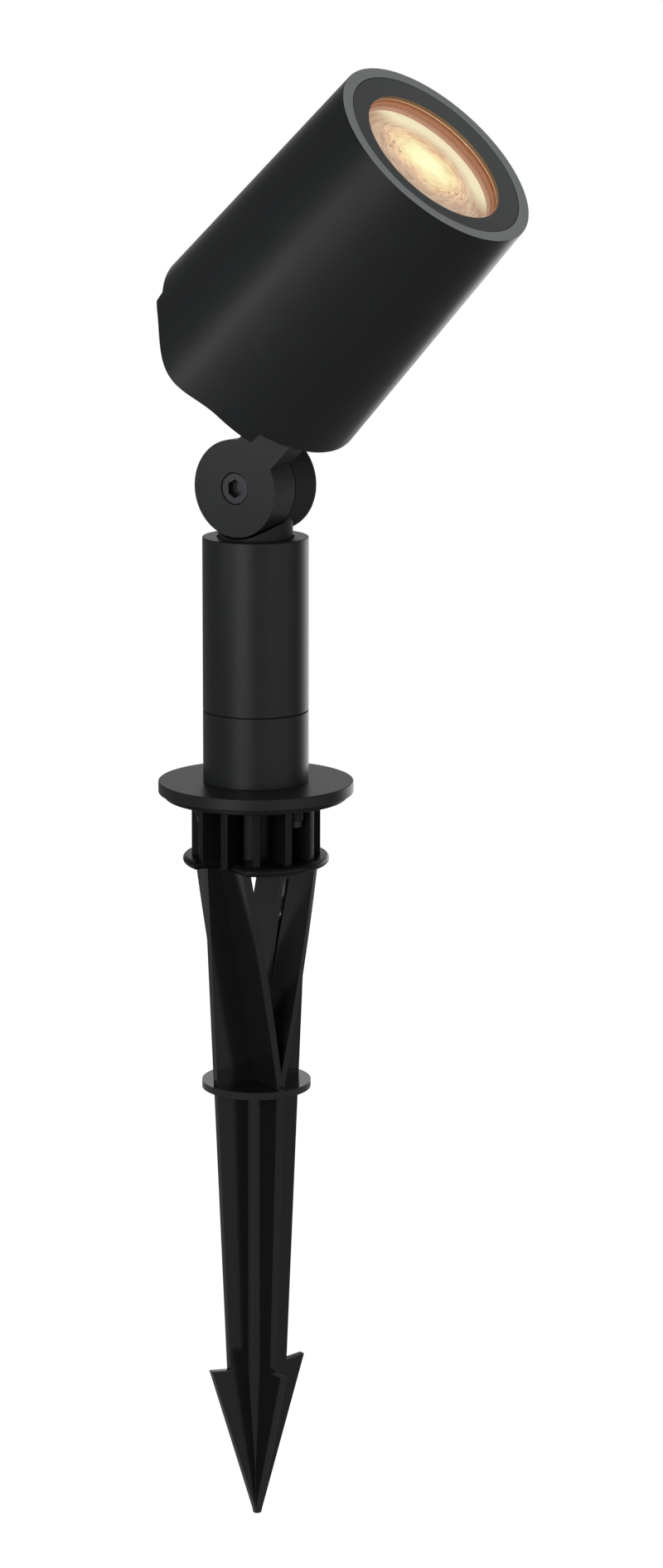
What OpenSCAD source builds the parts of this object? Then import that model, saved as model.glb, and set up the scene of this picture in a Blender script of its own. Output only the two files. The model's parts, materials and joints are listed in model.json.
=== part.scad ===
// Garden spike spotlight: a tapered lamp head on a bolted two-disc knuckle,
// a swivelling stem, a round post with a flange, and a moulded ground spike.
// Millimetres. Z is up, the post and the spike stand on Z, and z = 0 is the
// soil line, the flat underside of the spike's dish. The head looks along +X.

/* [Pose shown] */
// How far the lamp head points above the horizon at rest
rest_tilt = 44.6; // [20:0.1:70]
// Turn of the spike about the post, as it was pushed into the soil
spike_turn = -24.2; // [-90:0.1:90]

/* [Head shell] */
// Room round the lamp's rim inside the shell, on its radius
lamp_play = 1.75; // [1:0.05:3]
// Wall of the shell at its front rim
front_wall = 3.25; // [2.5:0.05:5]
// Width of the ledge on which the rear cap sits
cap_ledge = 3.65; // [3.4:0.05:5]
// Wall of the shell round the rear cap, at the rear rim
rear_wall = 2.9; // [2:0.1:5]
// How much longer the shell is on its lower side than on its upper side
low_lip = 3.8; // [3:0.1:6]
// How far the cheeks' upper corner stands behind the shell's upper rim
cheek_top_out = 3.2; // [2:0.1:6]
// How far the cheeks' lower corner stands behind the shell's upper rim
cheek_low_out = 7.3; // [6:0.1:10]
// How far the middle of a cheek swells behind the line between its corners
cheek_swell = 3.8; // [0:0.1:6]
// Height of the cheek's upper corner over the head axis
cheek_rise = 22; // [18:0.1:25]
// Depth of the cheek's lower corner under the head axis
cheek_drop = 24; // [20:0.1:26]

/* [Front] */
// How far the cover ring reaches in over the lamp's rim
ring_lap = 4; // [3:0.1:6]
// Depth of the dished face of the cover ring at the window
ring_dish = 1.1; // [0.4:0.1:1.6]
// Depth of the glass seat behind the front rim
ring_t = 2.3; // [2:0.1:3]
// Thickness of the front glass
glass_t = 2; // [1.5:0.1:3]
// Thickness of the glass gasket
gasket_t = 1; // [0.8:0.1:1.5]
// Width of the glass gasket across its flat ring
gasket_w = 1.6; // [1:0.1:3]

/* [Lamp] */
// Diameter of the lamp across its front rim
lamp_d = 50; // [48:0.5:51]
// Width of the lamp's rim round its lens
lamp_rim_w = 2; // [1:0.1:3]
// Thickness of the lamp's lens
lens_t = 2.4; // [1.5:0.1:3]
// Length of the lamp from its rim to the face of its base
lamp_len = 46; // [42:0.5:46.5]
// Diameter of the lamp's base
lamp_base_d = 24; // [20:0.5:28]
// Height of the lamp's straight front rim
lamp_rim_h = 5; // [3:0.5:8]
// Distance between the two contact pins
pin_pitch = 10; // [9:0.1:12]
// Diameter of a contact pin
pin_d = 3; // [2:0.1:3.5]
// Length of a contact pin
pin_len = 6; // [5:0.1:7]

/* [Lamp holder] */
// Diameter of the ceramic lamp holder
holder_d = 26; // [25:0.5:30]
// Length of the ceramic lamp holder
holder_len = 13; // [11:0.5:13.5]
// Height of the bracket between the holder and the cap's spigot
bracket_h = 3.4; // [2.8:0.1:6]
// Thickness of the sheet of the holder's bracket
bracket_t = 1.2; // [0.8:0.1:1.4]
// Width of the bracket
bracket_w = 12; // [8:0.5:16]
// Thread diameter of the screws that hold the holder to its bracket
holder_screw_d = 2; // [1.6:0.1:2.2]
// Length of the screws that hold the holder to its bracket
holder_screw_len = 5; // [4:0.5:6]

/* [Rear cap] */
// Depth of the cap's outer face in front of the shell's upper rear rim
cap_inset = 0.6; // [0.2:0.1:1.5]
// Thickness of the cap's flange
cap_t = 3.5; // [3:0.1:4.5]
// Depth of the cap's spigot inside the shell
spigot_len = 4.4; // [3.5:0.1:4.8]
// Wall of the spigot
spigot_wall = 3; // [2.6:0.1:4]
// Section diameter of the cap's sealing ring
seal_d = 1.7; // [1.4:0.1:1.9]
// Thread diameter of the screws that hold the cap
cap_screw_d = 2; // [1.6:0.1:2]
// Length of the screws that hold the cap
cap_screw_len = 8; // [6:0.5:10]

/* [Knuckle] */
// Length of the neck, from the knuckle axis to the cap's outer face
neck_len = 29.1; // [26:0.1:36]
// Height of the head axis over the knuckle axis, square to the head
axis_rise = 24; // [23:0.1:26]
// Diameter of the two knuckle discs
disc_d = 26.5; // [25:0.1:28]
// Thickness of the whole knuckle across both discs
knuckle_w = 19.5; // [19:0.1:21]
// Width of the neck bar, seen from the side
neck_w = 12.6; // [11:0.1:12.8]
// How far the neck bar's middle lies above the knuckle axis
neck_rise = 2.4; // [2.2:0.1:3.2]
// How much thinner the neck bar is than its disc
neck_relief = 0.8; // [0.4:0.1:1.2]
// Thickness of the neck's foot plate
foot_t = 3; // [2.4:0.1:4]
// Height of the foot plate, down from the neck bar's upper face
foot_h = 9.2; // [8:0.1:9.4]
// Thread diameter of the screws through the foot plate
foot_screw_d = 3; // [2.5:0.1:3]
// Thickness of the friction washer between the discs
washer_t = 0.4; // [0.3:0.05:0.8]
// Thread diameter of the knuckle screw
pivot_d = 5; // [4:0.5:6]
// Head diameter of the knuckle screw
pivot_head_d = 8.4; // [8:0.1:10]
// Height of the knuckle screw's head
pivot_head_h = 2.8; // [2.2:0.1:3]
// Width of the hexagon socket across its corners
socket_d = 4.3; // [3:0.1:5]
// Diameter of the wire chamber inside each disc
chamber_d = 17; // [14:0.1:19]
// Depth of the wire chamber in each disc
chamber_t = 3.2; // [3:0.1:3.6]
// Diameter of the wire way through the neck
neck_way_d = 3.6; // [3.4:0.1:3.8]
// Diameter of the wire way through the stem
stem_way_d = 3.4; // [3.4:0.1:3.6]

/* [Stem] */
// Diameter of the stem where it leaves the post
stem_d = 20.3; // [19.6:0.1:20.8]
// Gap between the head's knuckle disc and the saddle below it
saddle_gap = 0.6; // [0.4:0.1:0.8]
// How far the stem's sides end below the knuckle axis
stem_shoulder = 7; // [6.6:0.1:8]
// Diameter of the journal that turns in the post
journal_d = 12; // [11.5:0.1:12.5]
// Length of the journal
journal_len = 20; // [18:0.5:22]
// Thickness of the retaining washer under the journal's web
retainer_t = 1.5; // [1:0.1:2]
// Height of the hexagon nut on the journal's end
nut_h = 4; // [3:0.1:5]
// Width of the hexagon nut across its corners
nut_d = 19; // [18:0.5:20]

/* [Post] */
// Height of the knuckle axis over the soil line
pivot_z = 90.5; // [90.3:0.1:92]
// Height of the top of the post over the soil line
post_top_z = 76.5; // [74:0.1:76.6]
// Diameter of the post
post_d = 28.9; // [28:0.1:30]
// Height of the seam between the tube and the collar
seam_z = 28.8; // [27:0.1:32]
// Diameter of the post's hollow
post_bore_d = 22; // [21.4:0.1:22.2]
// Depth of the recess in which the stem stands
recess_depth = 5; // [4:0.1:6]
// Thickness of the web that carries the swivel bush
web_t = 8; // [6:0.1:9]
// Wall of the swivel bush
bush_wall = 2; // [1.5:0.1:2.2]
// Length of the tube's spigot inside the collar
tube_spigot_len = 6; // [4:0.5:8]

/* [Flange] */
// Diameter of the flange disc
flange_d = 53.5; // [52:0.5:60]
// Thickness of the flange disc
flange_t = 3.2; // [2.8:0.1:4]
// Thickness of the sheet gasket under the flange disc
sheet_t = 0.5; // [0.4:0.1:1]
// Thickness of the collar's floor
collar_floor_t = 3; // [2.5:0.1:4]
// Thread diameter of the screws from the flange into the collar
flange_screw_d = 2.5; // [2:0.1:2.6]
// Length of the screws from the flange into the collar
flange_screw_len = 9; // [8:0.5:11]

/* [Cable inlet] */
// Thread diameter of the cable gland
gland_d = 11; // [10:0.1:11.2]
// Diameter of the lead that the gland takes
lead_d = 5.6; // [5:0.1:6]
// Height of the gland's cap below the flange
gland_cap_h = 9; // [8:0.5:11]
// Height of the terminal block inside the post
terminal_h = 12; // [10:0.5:12]
// Width of the terminal block
terminal_w = 9; // [8:0.5:10]
// Diameter of one insulated wire
wire_d = 1.5; // [1.2:0.1:1.6]

/* [Spike] */
// Diameter of the dish under the flange
dish_d = 50.2; // [49:0.1:52]
// Height of the dish, from the soil line to its upper edge
dish_h = 5.4; // [5:0.1:7]
// Thickness of the dish's floor and rim
dish_wall = 2.4; // [2:0.1:3]
// Diameter over the ribs of the barrel
barrel_d = 35.3; // [34:0.1:37]
// Outside diameter of the tube inside the barrel
barrel_core_d = 17.5; // [17:0.1:18.5]
// Wall of the tube inside the barrel
barrel_core_wall = 1.2; // [0.8:0.1:1.4]
// Number of ribs round the barrel
rib_count = 12; // [8:4:16]
// Thickness of the ribs, fins and slanted walls
rib_t = 2.1; // [1.8:0.1:2.4]
// Depth under the soil line of the top of the barrel's ring
barrel_h = 11.6; // [10:0.1:13]
// Diameter of the ring under the barrel
ring_d = 40.2; // [39:0.1:42]
// Height of the ring under the barrel
ring_h = 2.3; // [2:0.1:3]
// Distance from the axis to the flat cut on the ring's front
ring_flat = 12.4; // [12.2:0.1:16]
// Depth under the soil line of the lower disc's top
disc_z = 75.8; // [72:0.1:82]
// Diameter of the lower disc
low_disc_d = 30.2; // [28:0.1:33]
// Thickness of the lower disc
low_disc_t = 2; // [1.6:0.1:3]
// Width over the two slanted walls at the top of the cage
cage_w = 23.8; // [22:0.1:24.2]
// Thickness of the slanted walls
wall_t = 1.8; // [1.4:0.1:2]
// Radius of the slanted walls' edges at the lower disc
wall_low_r = 13.3; // [12:0.1:14.5]
// How far the cage's fins show inside the slanted walls
fin_poke = 1; // [0.4:0.1:1.5]
// Radius of the fins at the lower disc
fin_disc_r = 13.1; // [12.4:0.1:14]
// Radius of the fins where the barbs begin
fin_end_r = 9.2; // [8.6:0.1:10]
// Diameter of the shaft's round core
core_d = 6.8; // [5.5:0.1:8]
// Depth under the soil line of the barbs' shoulders
barb_z = 159.5; // [152:0.1:170]
// Radius of the barbs
barb_r = 15; // [13.5:0.1:17]
// Depth under the soil line of the spike's point
tip_z = 203.9; // [196:0.1:225]
// Thread diameter of the screws from the dish into the flange
spike_screw_d = 2.5; // [2:0.1:2.6]
// Radius of the circle on which those screws stand
spike_screw_r = 14.5; // [14:0.1:15]

/* [Fits] */
// Radial clearance of a part that turns
run_fit = 0.05; // [0.02:0.01:0.1]
// Radial clearance of a fixed part in its seat
seat_fit = 0.1; // [0.05:0.01:0.15]
// Gap between pieces on different bodies that don't bear on each other
free_gap = 0.4; // [0.3:0.05:0.5]
// Clearance of a hole round a screw's thread, on its radius
screw_play = 0.2; // [0.1:0.05:0.25]

/* [Hidden] */
$fn = 96;

// One overrun serves every cut.
cut = 1;
// Screw heads follow their threads by these shares.
head_width_share = 1.8;
head_height_share = 0.7;
head_socket_share = 0.9;
socket_depth_share = 0.6;

// The head is drawn on its own axis: z runs back from the front rim and x is up.
lamp_r = lamp_d / 2;
shell_bore_r = lamp_r + lamp_play;
window_r = lamp_r - ring_lap;
glass_r = window_r + gasket_w;
ring_r = shell_bore_r - seat_fit;
gasket_front = ring_t + glass_t;
lamp_front = gasket_front + gasket_t;
lens_r = lamp_r - lamp_rim_w;
lamp_base_r = lamp_base_d / 2;
lamp_back = lamp_front + lamp_len;
pin_r = pin_d / 2;
pin_root = pin_len / 2;
pin_play = screw_play;
holder_r = holder_d / 2;
holder_back = lamp_back + holder_len;
holder_screw_out = (pin_pitch + holder_r) / 3;
wire_r = wire_d / 2;
bend_bulge = run_fit / 2;

// Rear cap, in the same frame.
spigot_front = holder_back + bracket_h;
cap_seat = spigot_front + spigot_len;
cap_face = cap_seat + cap_t;
cap_recess_r = shell_bore_r + cap_ledge;
cap_r = cap_recess_r - seat_fit;
spigot_r = shell_bore_r - seat_fit;
spigot_bore_r = spigot_r - spigot_wall;
seal_r = seal_d / 2;
seal_ring_r = shell_bore_r - seal_r - run_fit;
seal_z = cap_seat - spigot_len / 2;
cap_screw_r = (shell_bore_r + cap_r) / 2;
cap_screw_turn = 45;

// Shell, in the same frame: its rear rim stands behind the cap.
front_r = shell_bore_r + front_wall;
rear_r = cap_recess_r + rear_wall;
rear_d = 2 * rear_r;
shell_top_len = cap_face + cap_inset;
shell_low_len = shell_top_len + low_lip;
cheek_top_len = shell_top_len + cheek_top_out;
cheek_low_len = shell_top_len + cheek_low_out;
shell_mean = (shell_top_len + shell_low_len) / 2;
shell_max = max(cheek_top_len, cheek_low_len) + cheek_swell;
shell_taper = (rear_r - front_r) / shell_mean;
cheek_lean_share = 0.14;
cheek_mid = (cheek_rise - cheek_drop) / 2 + cheek_lean_share * cheek_rise;
cheek_spread_share = 0.74;
cheek_spread = cheek_spread_share * (cheek_rise + cheek_drop) / 2;
cheek_step_share = 0.04;
cheek_points = 20;
front_reach = cap_face + neck_len;

// Knuckle, in the head's frame: x forward, z up, the knuckle axis at zero.
disc_r = disc_d / 2;
knuckle_half = knuckle_w / 2;
washer_half = washer_t / 2;
near_face_y = -washer_half - run_fit;
neck_back_y = near_face_y - neck_relief;
neck_mid_y = (neck_back_y - knuckle_half) / 2;
neck_low_z = neck_rise - neck_w / 2;
neck_top_z = neck_rise + neck_w / 2;
foot_x = neck_len;
foot_mid_z = neck_top_z - foot_h / 2;
way_x = foot_mid_z - axis_rise;
foot_screw_r = foot_screw_d / 2;
foot_screw_head_r = foot_screw_r * head_width_share;
foot_screw_y = (neck_back_y + knuckle_half) / 2 + foot_screw_head_r + free_gap;
foot_half_y = foot_screw_y + foot_screw_head_r;
foot_screw_len = foot_t + cap_t;
pivot_r = pivot_d / 2;
pivot_head_r = pivot_head_d / 2;
head_set = run_fit * 3;
chamber_r = chamber_d / 2;
neck_way_r = neck_way_d / 2;
neck_way_y = neck_back_y - neck_relief - neck_way_r;
stem_way_r = stem_way_d / 2;
stem_way_y = washer_half + run_fit + stem_way_r;

// Stem and post.
stem_r = stem_d / 2;
journal_r = journal_d / 2;
post_r = post_d / 2;
post_bore_r = post_bore_d / 2;
recess_r = stem_r + free_gap;
web_top_z = post_top_z - recess_depth;
web_low_z = web_top_z - web_t;
bush_lip_t = web_t / 6;
bush_r = journal_r + run_fit + bush_wall;
bush_lip_r = bush_r + bush_wall / 2;
stem_foot_z = web_top_z + bush_lip_t + run_fit;
journal_low_z = stem_foot_z - journal_len;
retainer_r = nut_d / 2 + free_gap;
retainer_z = web_low_z - run_fit - retainer_t;
tube_spigot_r = (post_r + post_bore_r) / 2;

// Flange and cable inlet.
flange_low_z = dish_h + sheet_t;
flange_top_z = flange_low_z + flange_t;
flange_r = flange_d / 2;
flange_screw_out = (post_r + post_bore_r) / 2;
flange_screw_sink = flange_screw_d * head_height_share;
screw_count = 3;
gland_r = gland_d / 2;
gland_cap_r = barrel_core_d / 2 - barrel_core_wall - free_gap;
gland_nose_share = 0.75;
gland_nut_r = post_bore_r - free_gap * 3;
gland_nut_t = gland_d / 3;
lead_r = lead_d / 2;
gland_top_z = flange_top_z + collar_floor_t + gland_nut_t + cut;
terminal_z = gland_top_z + lead_r * 2;
terminal_foot_w = post_bore_d - 2 * free_gap;

// Spike. Depths under the soil line are positive and used with a minus sign.
dish_r = dish_d / 2;
dish_steps = 8;
barrel_r = barrel_d / 2;
barrel_core_r = barrel_core_d / 2;
barrel_bore_r = barrel_core_r - barrel_core_wall;
low_ring_r = ring_d / 2;
ring_low_z = barrel_h + ring_h;
low_disc_r = low_disc_d / 2;
low_disc_low_z = disc_z + low_disc_t;
cage_half = cage_w / 2;
core_r = core_d / 2;
fin_taper = (fin_disc_r - fin_end_r) / (barb_z - disc_z);
fin_top_r = fin_disc_r + fin_taper * (disc_z - ring_low_z);
point_r = rib_t / 3;
barb_lift = rib_t / 3;
spike_screw_turn = 180 / rib_count;
spike_screw_len = flange_top_z - 2 * free_gap;
flange_screw_turn = spike_screw_turn + 180 / screw_count;
spike_boss_r = spike_screw_d;
gasket_bore_r = flange_screw_out + flange_screw_d;

// A thing in the head's frame, put at its place in the whole lamp.
module in_head() {
    translate([0, 0, pivot_z])
        rotate([0, -rest_tilt, 0])
            children();
}

// A thing drawn on the head's axis, z back from the front rim and x up.
module on_axis() {
    in_head()
        translate([front_reach, 0, axis_rise])
            rotate([0, -90, 0])
                children();
}

// A round bar on Z from z to z + h.
module bar(r, z, h) {
    translate([0, 0, z])
        cylinder(r = r, h = h);
}

// A ring of even wall on Z from z to z + h.
module tube(r_out, r_in, z, h) {
    difference() {
        bar(r_out, z, h);
        bar(r_in, z - cut, h + 2 * cut);
    }
}

// A round bar along +Y from y to y + h.
module bar_y(r, y, h) {
    translate([0, y, 0])
        rotate([-90, 0, 0])
            cylinder(r = r, h = h);
}

// A round bar along +X from x to x + h.
module bar_x(r, x, h) {
    translate([x, 0, 0])
        rotate([0, 90, 0])
            cylinder(r = r, h = h);
}

// A screw that points up Z with its head below zero and a hexagon socket.
module screw(r, len) {
    head_h = 2 * r * head_height_share;
    difference() {
        union() {
            bar(r * head_width_share, -head_h, head_h);
            bar(r, 0, len);
        }
        translate([0, 0, -head_h - cut])
            cylinder(r = r * head_socket_share, h = head_h * socket_depth_share + cut, $fn = 6);
    }
}

// A straight run of wire between two points.
module wire_run(start, end, r) {
    way = end - start;
    translate(start)
        rotate([0, acos(way.z / norm(way)), atan2(way.y, way.x)])
            cylinder(r = r, h = norm(way));
}

// A round wire through a list of points, with a ball at each bend.
module wire(points, r) {
    for (i = [1:len(points) - 1])
        wire_run(points[i - 1], points[i], r);
    for (i = [1:len(points) - 2])
        translate(points[i])
            sphere(r = r + bend_bulge);
}

// Rear edge of a cheek at height x over the head axis.
function cheek_line(x) =
    cheek_low_len + (cheek_top_len - cheek_low_len) * (x + cheek_drop) / (cheek_rise + cheek_drop);
function cheek_edge(x) =
    cheek_line(x)
    + (abs(x - cheek_mid) < cheek_spread
        ? cheek_swell * pow(cos(90 * (x - cheek_mid) / cheek_spread), 2)
        : 0);
function cheek_x(i) = -cheek_drop + (cheek_rise + cheek_drop) * i / cheek_points;

// What is cut away behind the shell's rear edge, as seen from the side.
module behind_shell() {
    rotate([90, 0, 0])
        linear_extrude(height = 2 * rear_d, center = true)
            polygon(concat(
                [
                    [-rear_d, shell_max + rear_r],
                    [-rear_d, shell_low_len],
                    [-cheek_drop, shell_low_len]
                ],
                [for (i = [0:cheek_points]) [cheek_x(i), cheek_edge(cheek_x(i))]],
                [
                    [cheek_rise * (1 + cheek_step_share), shell_top_len + cap_inset],
                    [rear_r, shell_top_len - cap_inset],
                    [rear_d, shell_top_len - cap_inset],
                    [rear_d, shell_max + rear_r]
                ]
            ));
}

module head_shell() {
    color("#26272a")
        on_axis()
            difference() {
                cylinder(
                    r1 = front_r,
                    r2 = front_r + shell_taper * (shell_max + cut),
                    h = shell_max + cut
                );
                bar(shell_bore_r, -cut, shell_max + 3 * cut);
                bar(cap_recess_r, cap_seat, shell_max);
                behind_shell();
                cap_screw_places()
                    bar(cap_screw_d / 2, -cap_screw_len, cap_screw_len + cut);
            }
}

// The places of the cap's screws, their heads on the cap's outer face.
module cap_screw_places() {
    for (i = [0:3])
        rotate([0, 0, cap_screw_turn + 90 * i])
            translate([cap_screw_r, 0, cap_face])
                children();
}

module cover_ring() {
    color("#2c2d30")
        on_axis()
            rotate_extrude()
                polygon([
                    [window_r, ring_dish],
                    [ring_r, 0],
                    [ring_r, lamp_front],
                    [glass_r + seat_fit, lamp_front],
                    [glass_r + seat_fit, ring_t],
                    [window_r, ring_t]
                ]);
}

module front_glass() {
    color("#dfe9ea", 0.35)
        on_axis()
            bar(glass_r, ring_t, glass_t);
}

module glass_gasket() {
    color("#8a5a3c")
        on_axis()
            tube(glass_r, window_r, gasket_front, gasket_t);
}

module lamp_lens() {
    color("#ffe9b0")
        on_axis()
            bar(lens_r, lamp_front, lens_t);
}

module lamp_body() {
    cone_h = lamp_len - 2 * lamp_rim_h;
    color("#e8e6e0")
        on_axis()
            difference() {
                union() {
                    bar(lamp_r, lamp_front, lamp_rim_h);
                    translate([0, 0, lamp_front + lamp_rim_h])
                        cylinder(r1 = lamp_r, r2 = lamp_base_r, h = cone_h);
                    bar(lamp_base_r, lamp_back - lamp_rim_h, lamp_rim_h);
                }
                bar(lens_r + seat_fit, lamp_front - cut, lens_t + cut);
                pin_places()
                    bar(pin_r, -pin_root, pin_root + cut);
            }
}

// The places of the two contact pins, on the face of the lamp's base.
module pin_places() {
    for (side = [-1, 1])
        translate([0, side * pin_pitch / 2, lamp_back])
            children();
}

module lamp_pins() {
    color("#c8c4b8")
        on_axis()
            pin_places()
                bar(pin_r, -pin_root, pin_root + pin_len);
}

module lamp_holder() {
    color("#efece2")
        on_axis()
            difference() {
                bar(holder_r, lamp_back, holder_len);
                pin_places() {
                    bar(pin_r + pin_play, -cut, pin_len + pin_play + cut);
                    bar(wire_r, holder_len - pin_root, pin_root + cut);
                }
                holder_screw_places()
                    bar(holder_screw_d / 2, -holder_screw_len, holder_screw_len + cut);
            }
}

// The places of the holder's screws, on the back of the bracket.
module holder_screw_places() {
    for (side = [-1, 1])
        translate([side * holder_screw_out, 0, holder_back + bracket_t])
            children();
}

module holder_bracket() {
    half = spigot_bore_r + spigot_wall / 2;
    color("#b9bcc0")
        on_axis()
            difference() {
                union() {
                    translate([-half, -bracket_w / 2, holder_back])
                        cube([2 * half, bracket_w, bracket_t]);
                    for (side = [0, 1])
                        mirror([side, 0, 0])
                            translate([half - bracket_t, -bracket_w / 2, holder_back])
                                cube([bracket_t, bracket_w, spigot_front - holder_back]);
                }
                holder_screw_places()
                    bar(holder_screw_d / 2 + screw_play, -bracket_t - cut, bracket_t + 2 * cut);
                pin_places()
                    bar(wire_r + free_gap, holder_len - cut, bracket_t + 2 * cut);
            }
}

module holder_screws() {
    color("#c9ccd0")
        on_axis()
            holder_screw_places()
                rotate([180, 0, 0])
                    screw(holder_screw_d / 2, holder_screw_len);
}

// Two wires from the lamp holder, over the cap's hollow and into the neck.
module lamp_wires() {
    room_z = (holder_back + bracket_t + cap_seat) / 2;
    color("#b5502e")
        on_axis()
            for (side = [-1, 1])
                wire([
                    [0, side * pin_pitch / 2, holder_back - pin_root + wire_r],
                    [0, side * pin_pitch / 2, room_z],
                    [way_x, neck_way_y + side * (wire_r + run_fit), room_z],
                    [way_x, neck_way_y + side * (wire_r + run_fit), front_reach - chamber_r - wire_r]
                ], wire_r);
}

module rear_cap() {
    color("#242528")
        on_axis()
            difference() {
                union() {
                    bar(cap_r, cap_seat, cap_t);
                    bar(spigot_r, spigot_front, spigot_len + cut);
                }
                bar(spigot_bore_r, spigot_front - cut, spigot_len + cut);
                tube(
                    spigot_r + cut,
                    seal_ring_r - seal_r - run_fit,
                    seal_z - seal_r - run_fit,
                    seal_d + 2 * run_fit
                );
                cap_screw_places()
                    bar(cap_screw_d / 2 + screw_play, -cap_t - cut, cap_t + 2 * cut);
                foot_screw_places()
                    bar(foot_screw_r, -cap_t - cut, cap_t + 2 * cut);
                translate([way_x, neck_way_y, cap_face])
                    bar(neck_way_r, -cap_t - cut, cap_t + 2 * cut);
            }
}

// The places of the foot plate's screws, on the cap's outer face.
module foot_screw_places() {
    for (side = [-1, 1])
        translate([way_x, neck_mid_y + side * foot_screw_y, cap_face])
            children();
}

module cap_seal() {
    color("#111111")
        on_axis()
            translate([0, 0, seal_z])
                rotate_extrude()
                    translate([seal_ring_r, 0])
                        circle(r = seal_r, $fn = 32);
}

module cap_screws() {
    color("#3a3b3e")
        on_axis()
            cap_screw_places()
                rotate([180, 0, 0])
                    screw(cap_screw_d / 2, cap_screw_len);
}

// The head's knuckle disc with its neck bar and foot plate.
module tilt_knuckle() {
    color("#2b2c2f")
        in_head()
            difference() {
                union() {
                    bar_y(disc_r, -knuckle_half, knuckle_half + near_face_y);
                    translate([0, -knuckle_half, neck_low_z])
                        cube([foot_x, knuckle_half + neck_back_y, neck_w]);
                    translate([foot_x - foot_t, neck_mid_y - foot_half_y, neck_top_z - foot_h])
                        cube([foot_t, 2 * foot_half_y, foot_h]);
                }
                bar_y(pivot_r + run_fit, -knuckle_half - cut, knuckle_w);
                bar_y(pivot_head_r + screw_play, -knuckle_half - cut, pivot_head_h + 2 * head_set + cut);
                bar_y(chamber_r, near_face_y - chamber_t, chamber_t + cut);
                translate([0, neck_way_y, foot_mid_z])
                    bar_x(neck_way_r, chamber_r - neck_way_r, foot_x);
                for (side = [-1, 1])
                    translate([0, neck_mid_y + side * foot_screw_y, foot_mid_z])
                        bar_x(foot_screw_r + screw_play, foot_x - foot_t - cut, foot_t + 2 * cut);
            }
}

module foot_screws() {
    color("#3a3b3e")
        on_axis()
            foot_screw_places()
                translate([0, 0, foot_t])
                    rotate([180, 0, 0])
                        screw(foot_screw_r, foot_screw_len);
}

// The socket screw on which the head tilts, its head flush in the near disc.
module knuckle_screw() {
    color("#303134")
        translate([0, 0, pivot_z])
            difference() {
                union() {
                    bar_y(pivot_head_r, head_set - knuckle_half, pivot_head_h);
                    bar_y(pivot_r, head_set - knuckle_half, knuckle_w - 2 * head_set - cut);
                }
                translate([0, head_set - knuckle_half - cut, 0])
                    rotate([-90, 0, 0])
                        rotate([0, 0, 30])
                            cylinder(
                                r = socket_d / 2,
                                h = pivot_head_h * socket_depth_share + cut,
                                $fn = 6
                            );
            }
}

module friction_washer() {
    color("#151515")
        translate([0, 0, pivot_z])
            difference() {
                bar_y(disc_r - washer_t, -washer_half, washer_t);
                bar_y(chamber_r, -washer_half - cut, washer_t + 2 * cut);
            }
}

// The stem: far disc, saddle under the near disc, and the journal in the post.
module stem_knuckle() {
    color("#2b2c2f")
        difference() {
            union() {
                translate([0, 0, pivot_z])
                    bar_y(disc_r, washer_half, knuckle_half - washer_half);
                intersection() {
                    bar(stem_r, stem_foot_z, pivot_z - stem_shoulder - stem_foot_z);
                    translate([-stem_r, -stem_r - cut, stem_foot_z])
                        cube([stem_d, stem_r + cut + knuckle_half, pivot_z]);
                }
                bar(journal_r, journal_low_z, journal_len + cut);
            }
            translate([0, 0, pivot_z]) {
                bar_y(disc_r + saddle_gap, -stem_r - cut, stem_r + cut + washer_half);
                bar_y(pivot_r, -cut, knuckle_half);
                bar_y(chamber_r, 0, washer_half + chamber_t);
            }
            translate([0, stem_way_y, 0])
                bar(stem_way_r, journal_low_z - cut, pivot_z - chamber_r + pivot_r - journal_low_z);
        }
}

module stem_retainer() {
    color("#c0c2c5")
        tube(retainer_r, journal_r + run_fit, retainer_z, retainer_t);
}

module stem_nut() {
    color("#c0c2c5")
        difference() {
            translate([0, 0, retainer_z - nut_h])
                cylinder(r = nut_d / 2, h = nut_h, $fn = 6);
            bar(journal_r + run_fit, retainer_z - nut_h - cut, nut_h + 2 * cut);
        }
}

// Two wires from the knuckle's chamber down through the stem to the terminals.
module stem_wires() {
    low_z = terminal_z + terminal_h + free_gap;
    color("#b5502e")
        for (side = [-1, 1])
            translate([side * (wire_r + run_fit), stem_way_y, 0])
                bar(wire_r, low_z, pivot_z - chamber_r + wire_r - low_z);
}

module swivel_bush() {
    color("#d9d7cf")
        difference() {
            union() {
                bar(bush_r, web_low_z, web_t);
                bar(bush_lip_r, web_top_z, bush_lip_t);
            }
            bar(journal_r + run_fit, web_low_z - cut, web_t + bush_lip_t + 2 * cut);
        }
}

module post_tube() {
    color("#2b2c2f")
        difference() {
            union() {
                bar(post_r, seam_z, post_top_z - seam_z);
                bar(tube_spigot_r, seam_z - tube_spigot_len, tube_spigot_len + cut);
            }
            bar(recess_r, web_top_z, recess_depth + cut);
            bar(bush_r, web_low_z - cut, web_t + 2 * cut);
            bar(post_bore_r, seam_z - tube_spigot_len - cut, web_low_z - seam_z + tube_spigot_len + cut);
        }
}

module post_collar() {
    color("#2b2c2f")
        difference() {
            bar(post_r, flange_top_z, seam_z - flange_top_z);
            bar(post_bore_r, flange_top_z + collar_floor_t, seam_z);
            bar(tube_spigot_r + seat_fit, seam_z - tube_spigot_len - run_fit, seam_z);
            bar(gland_r + seat_fit, flange_top_z - cut, collar_floor_t + 2 * cut);
            flange_screw_places()
                bar(flange_screw_d / 2, 0, flange_screw_len);
        }
}

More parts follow.
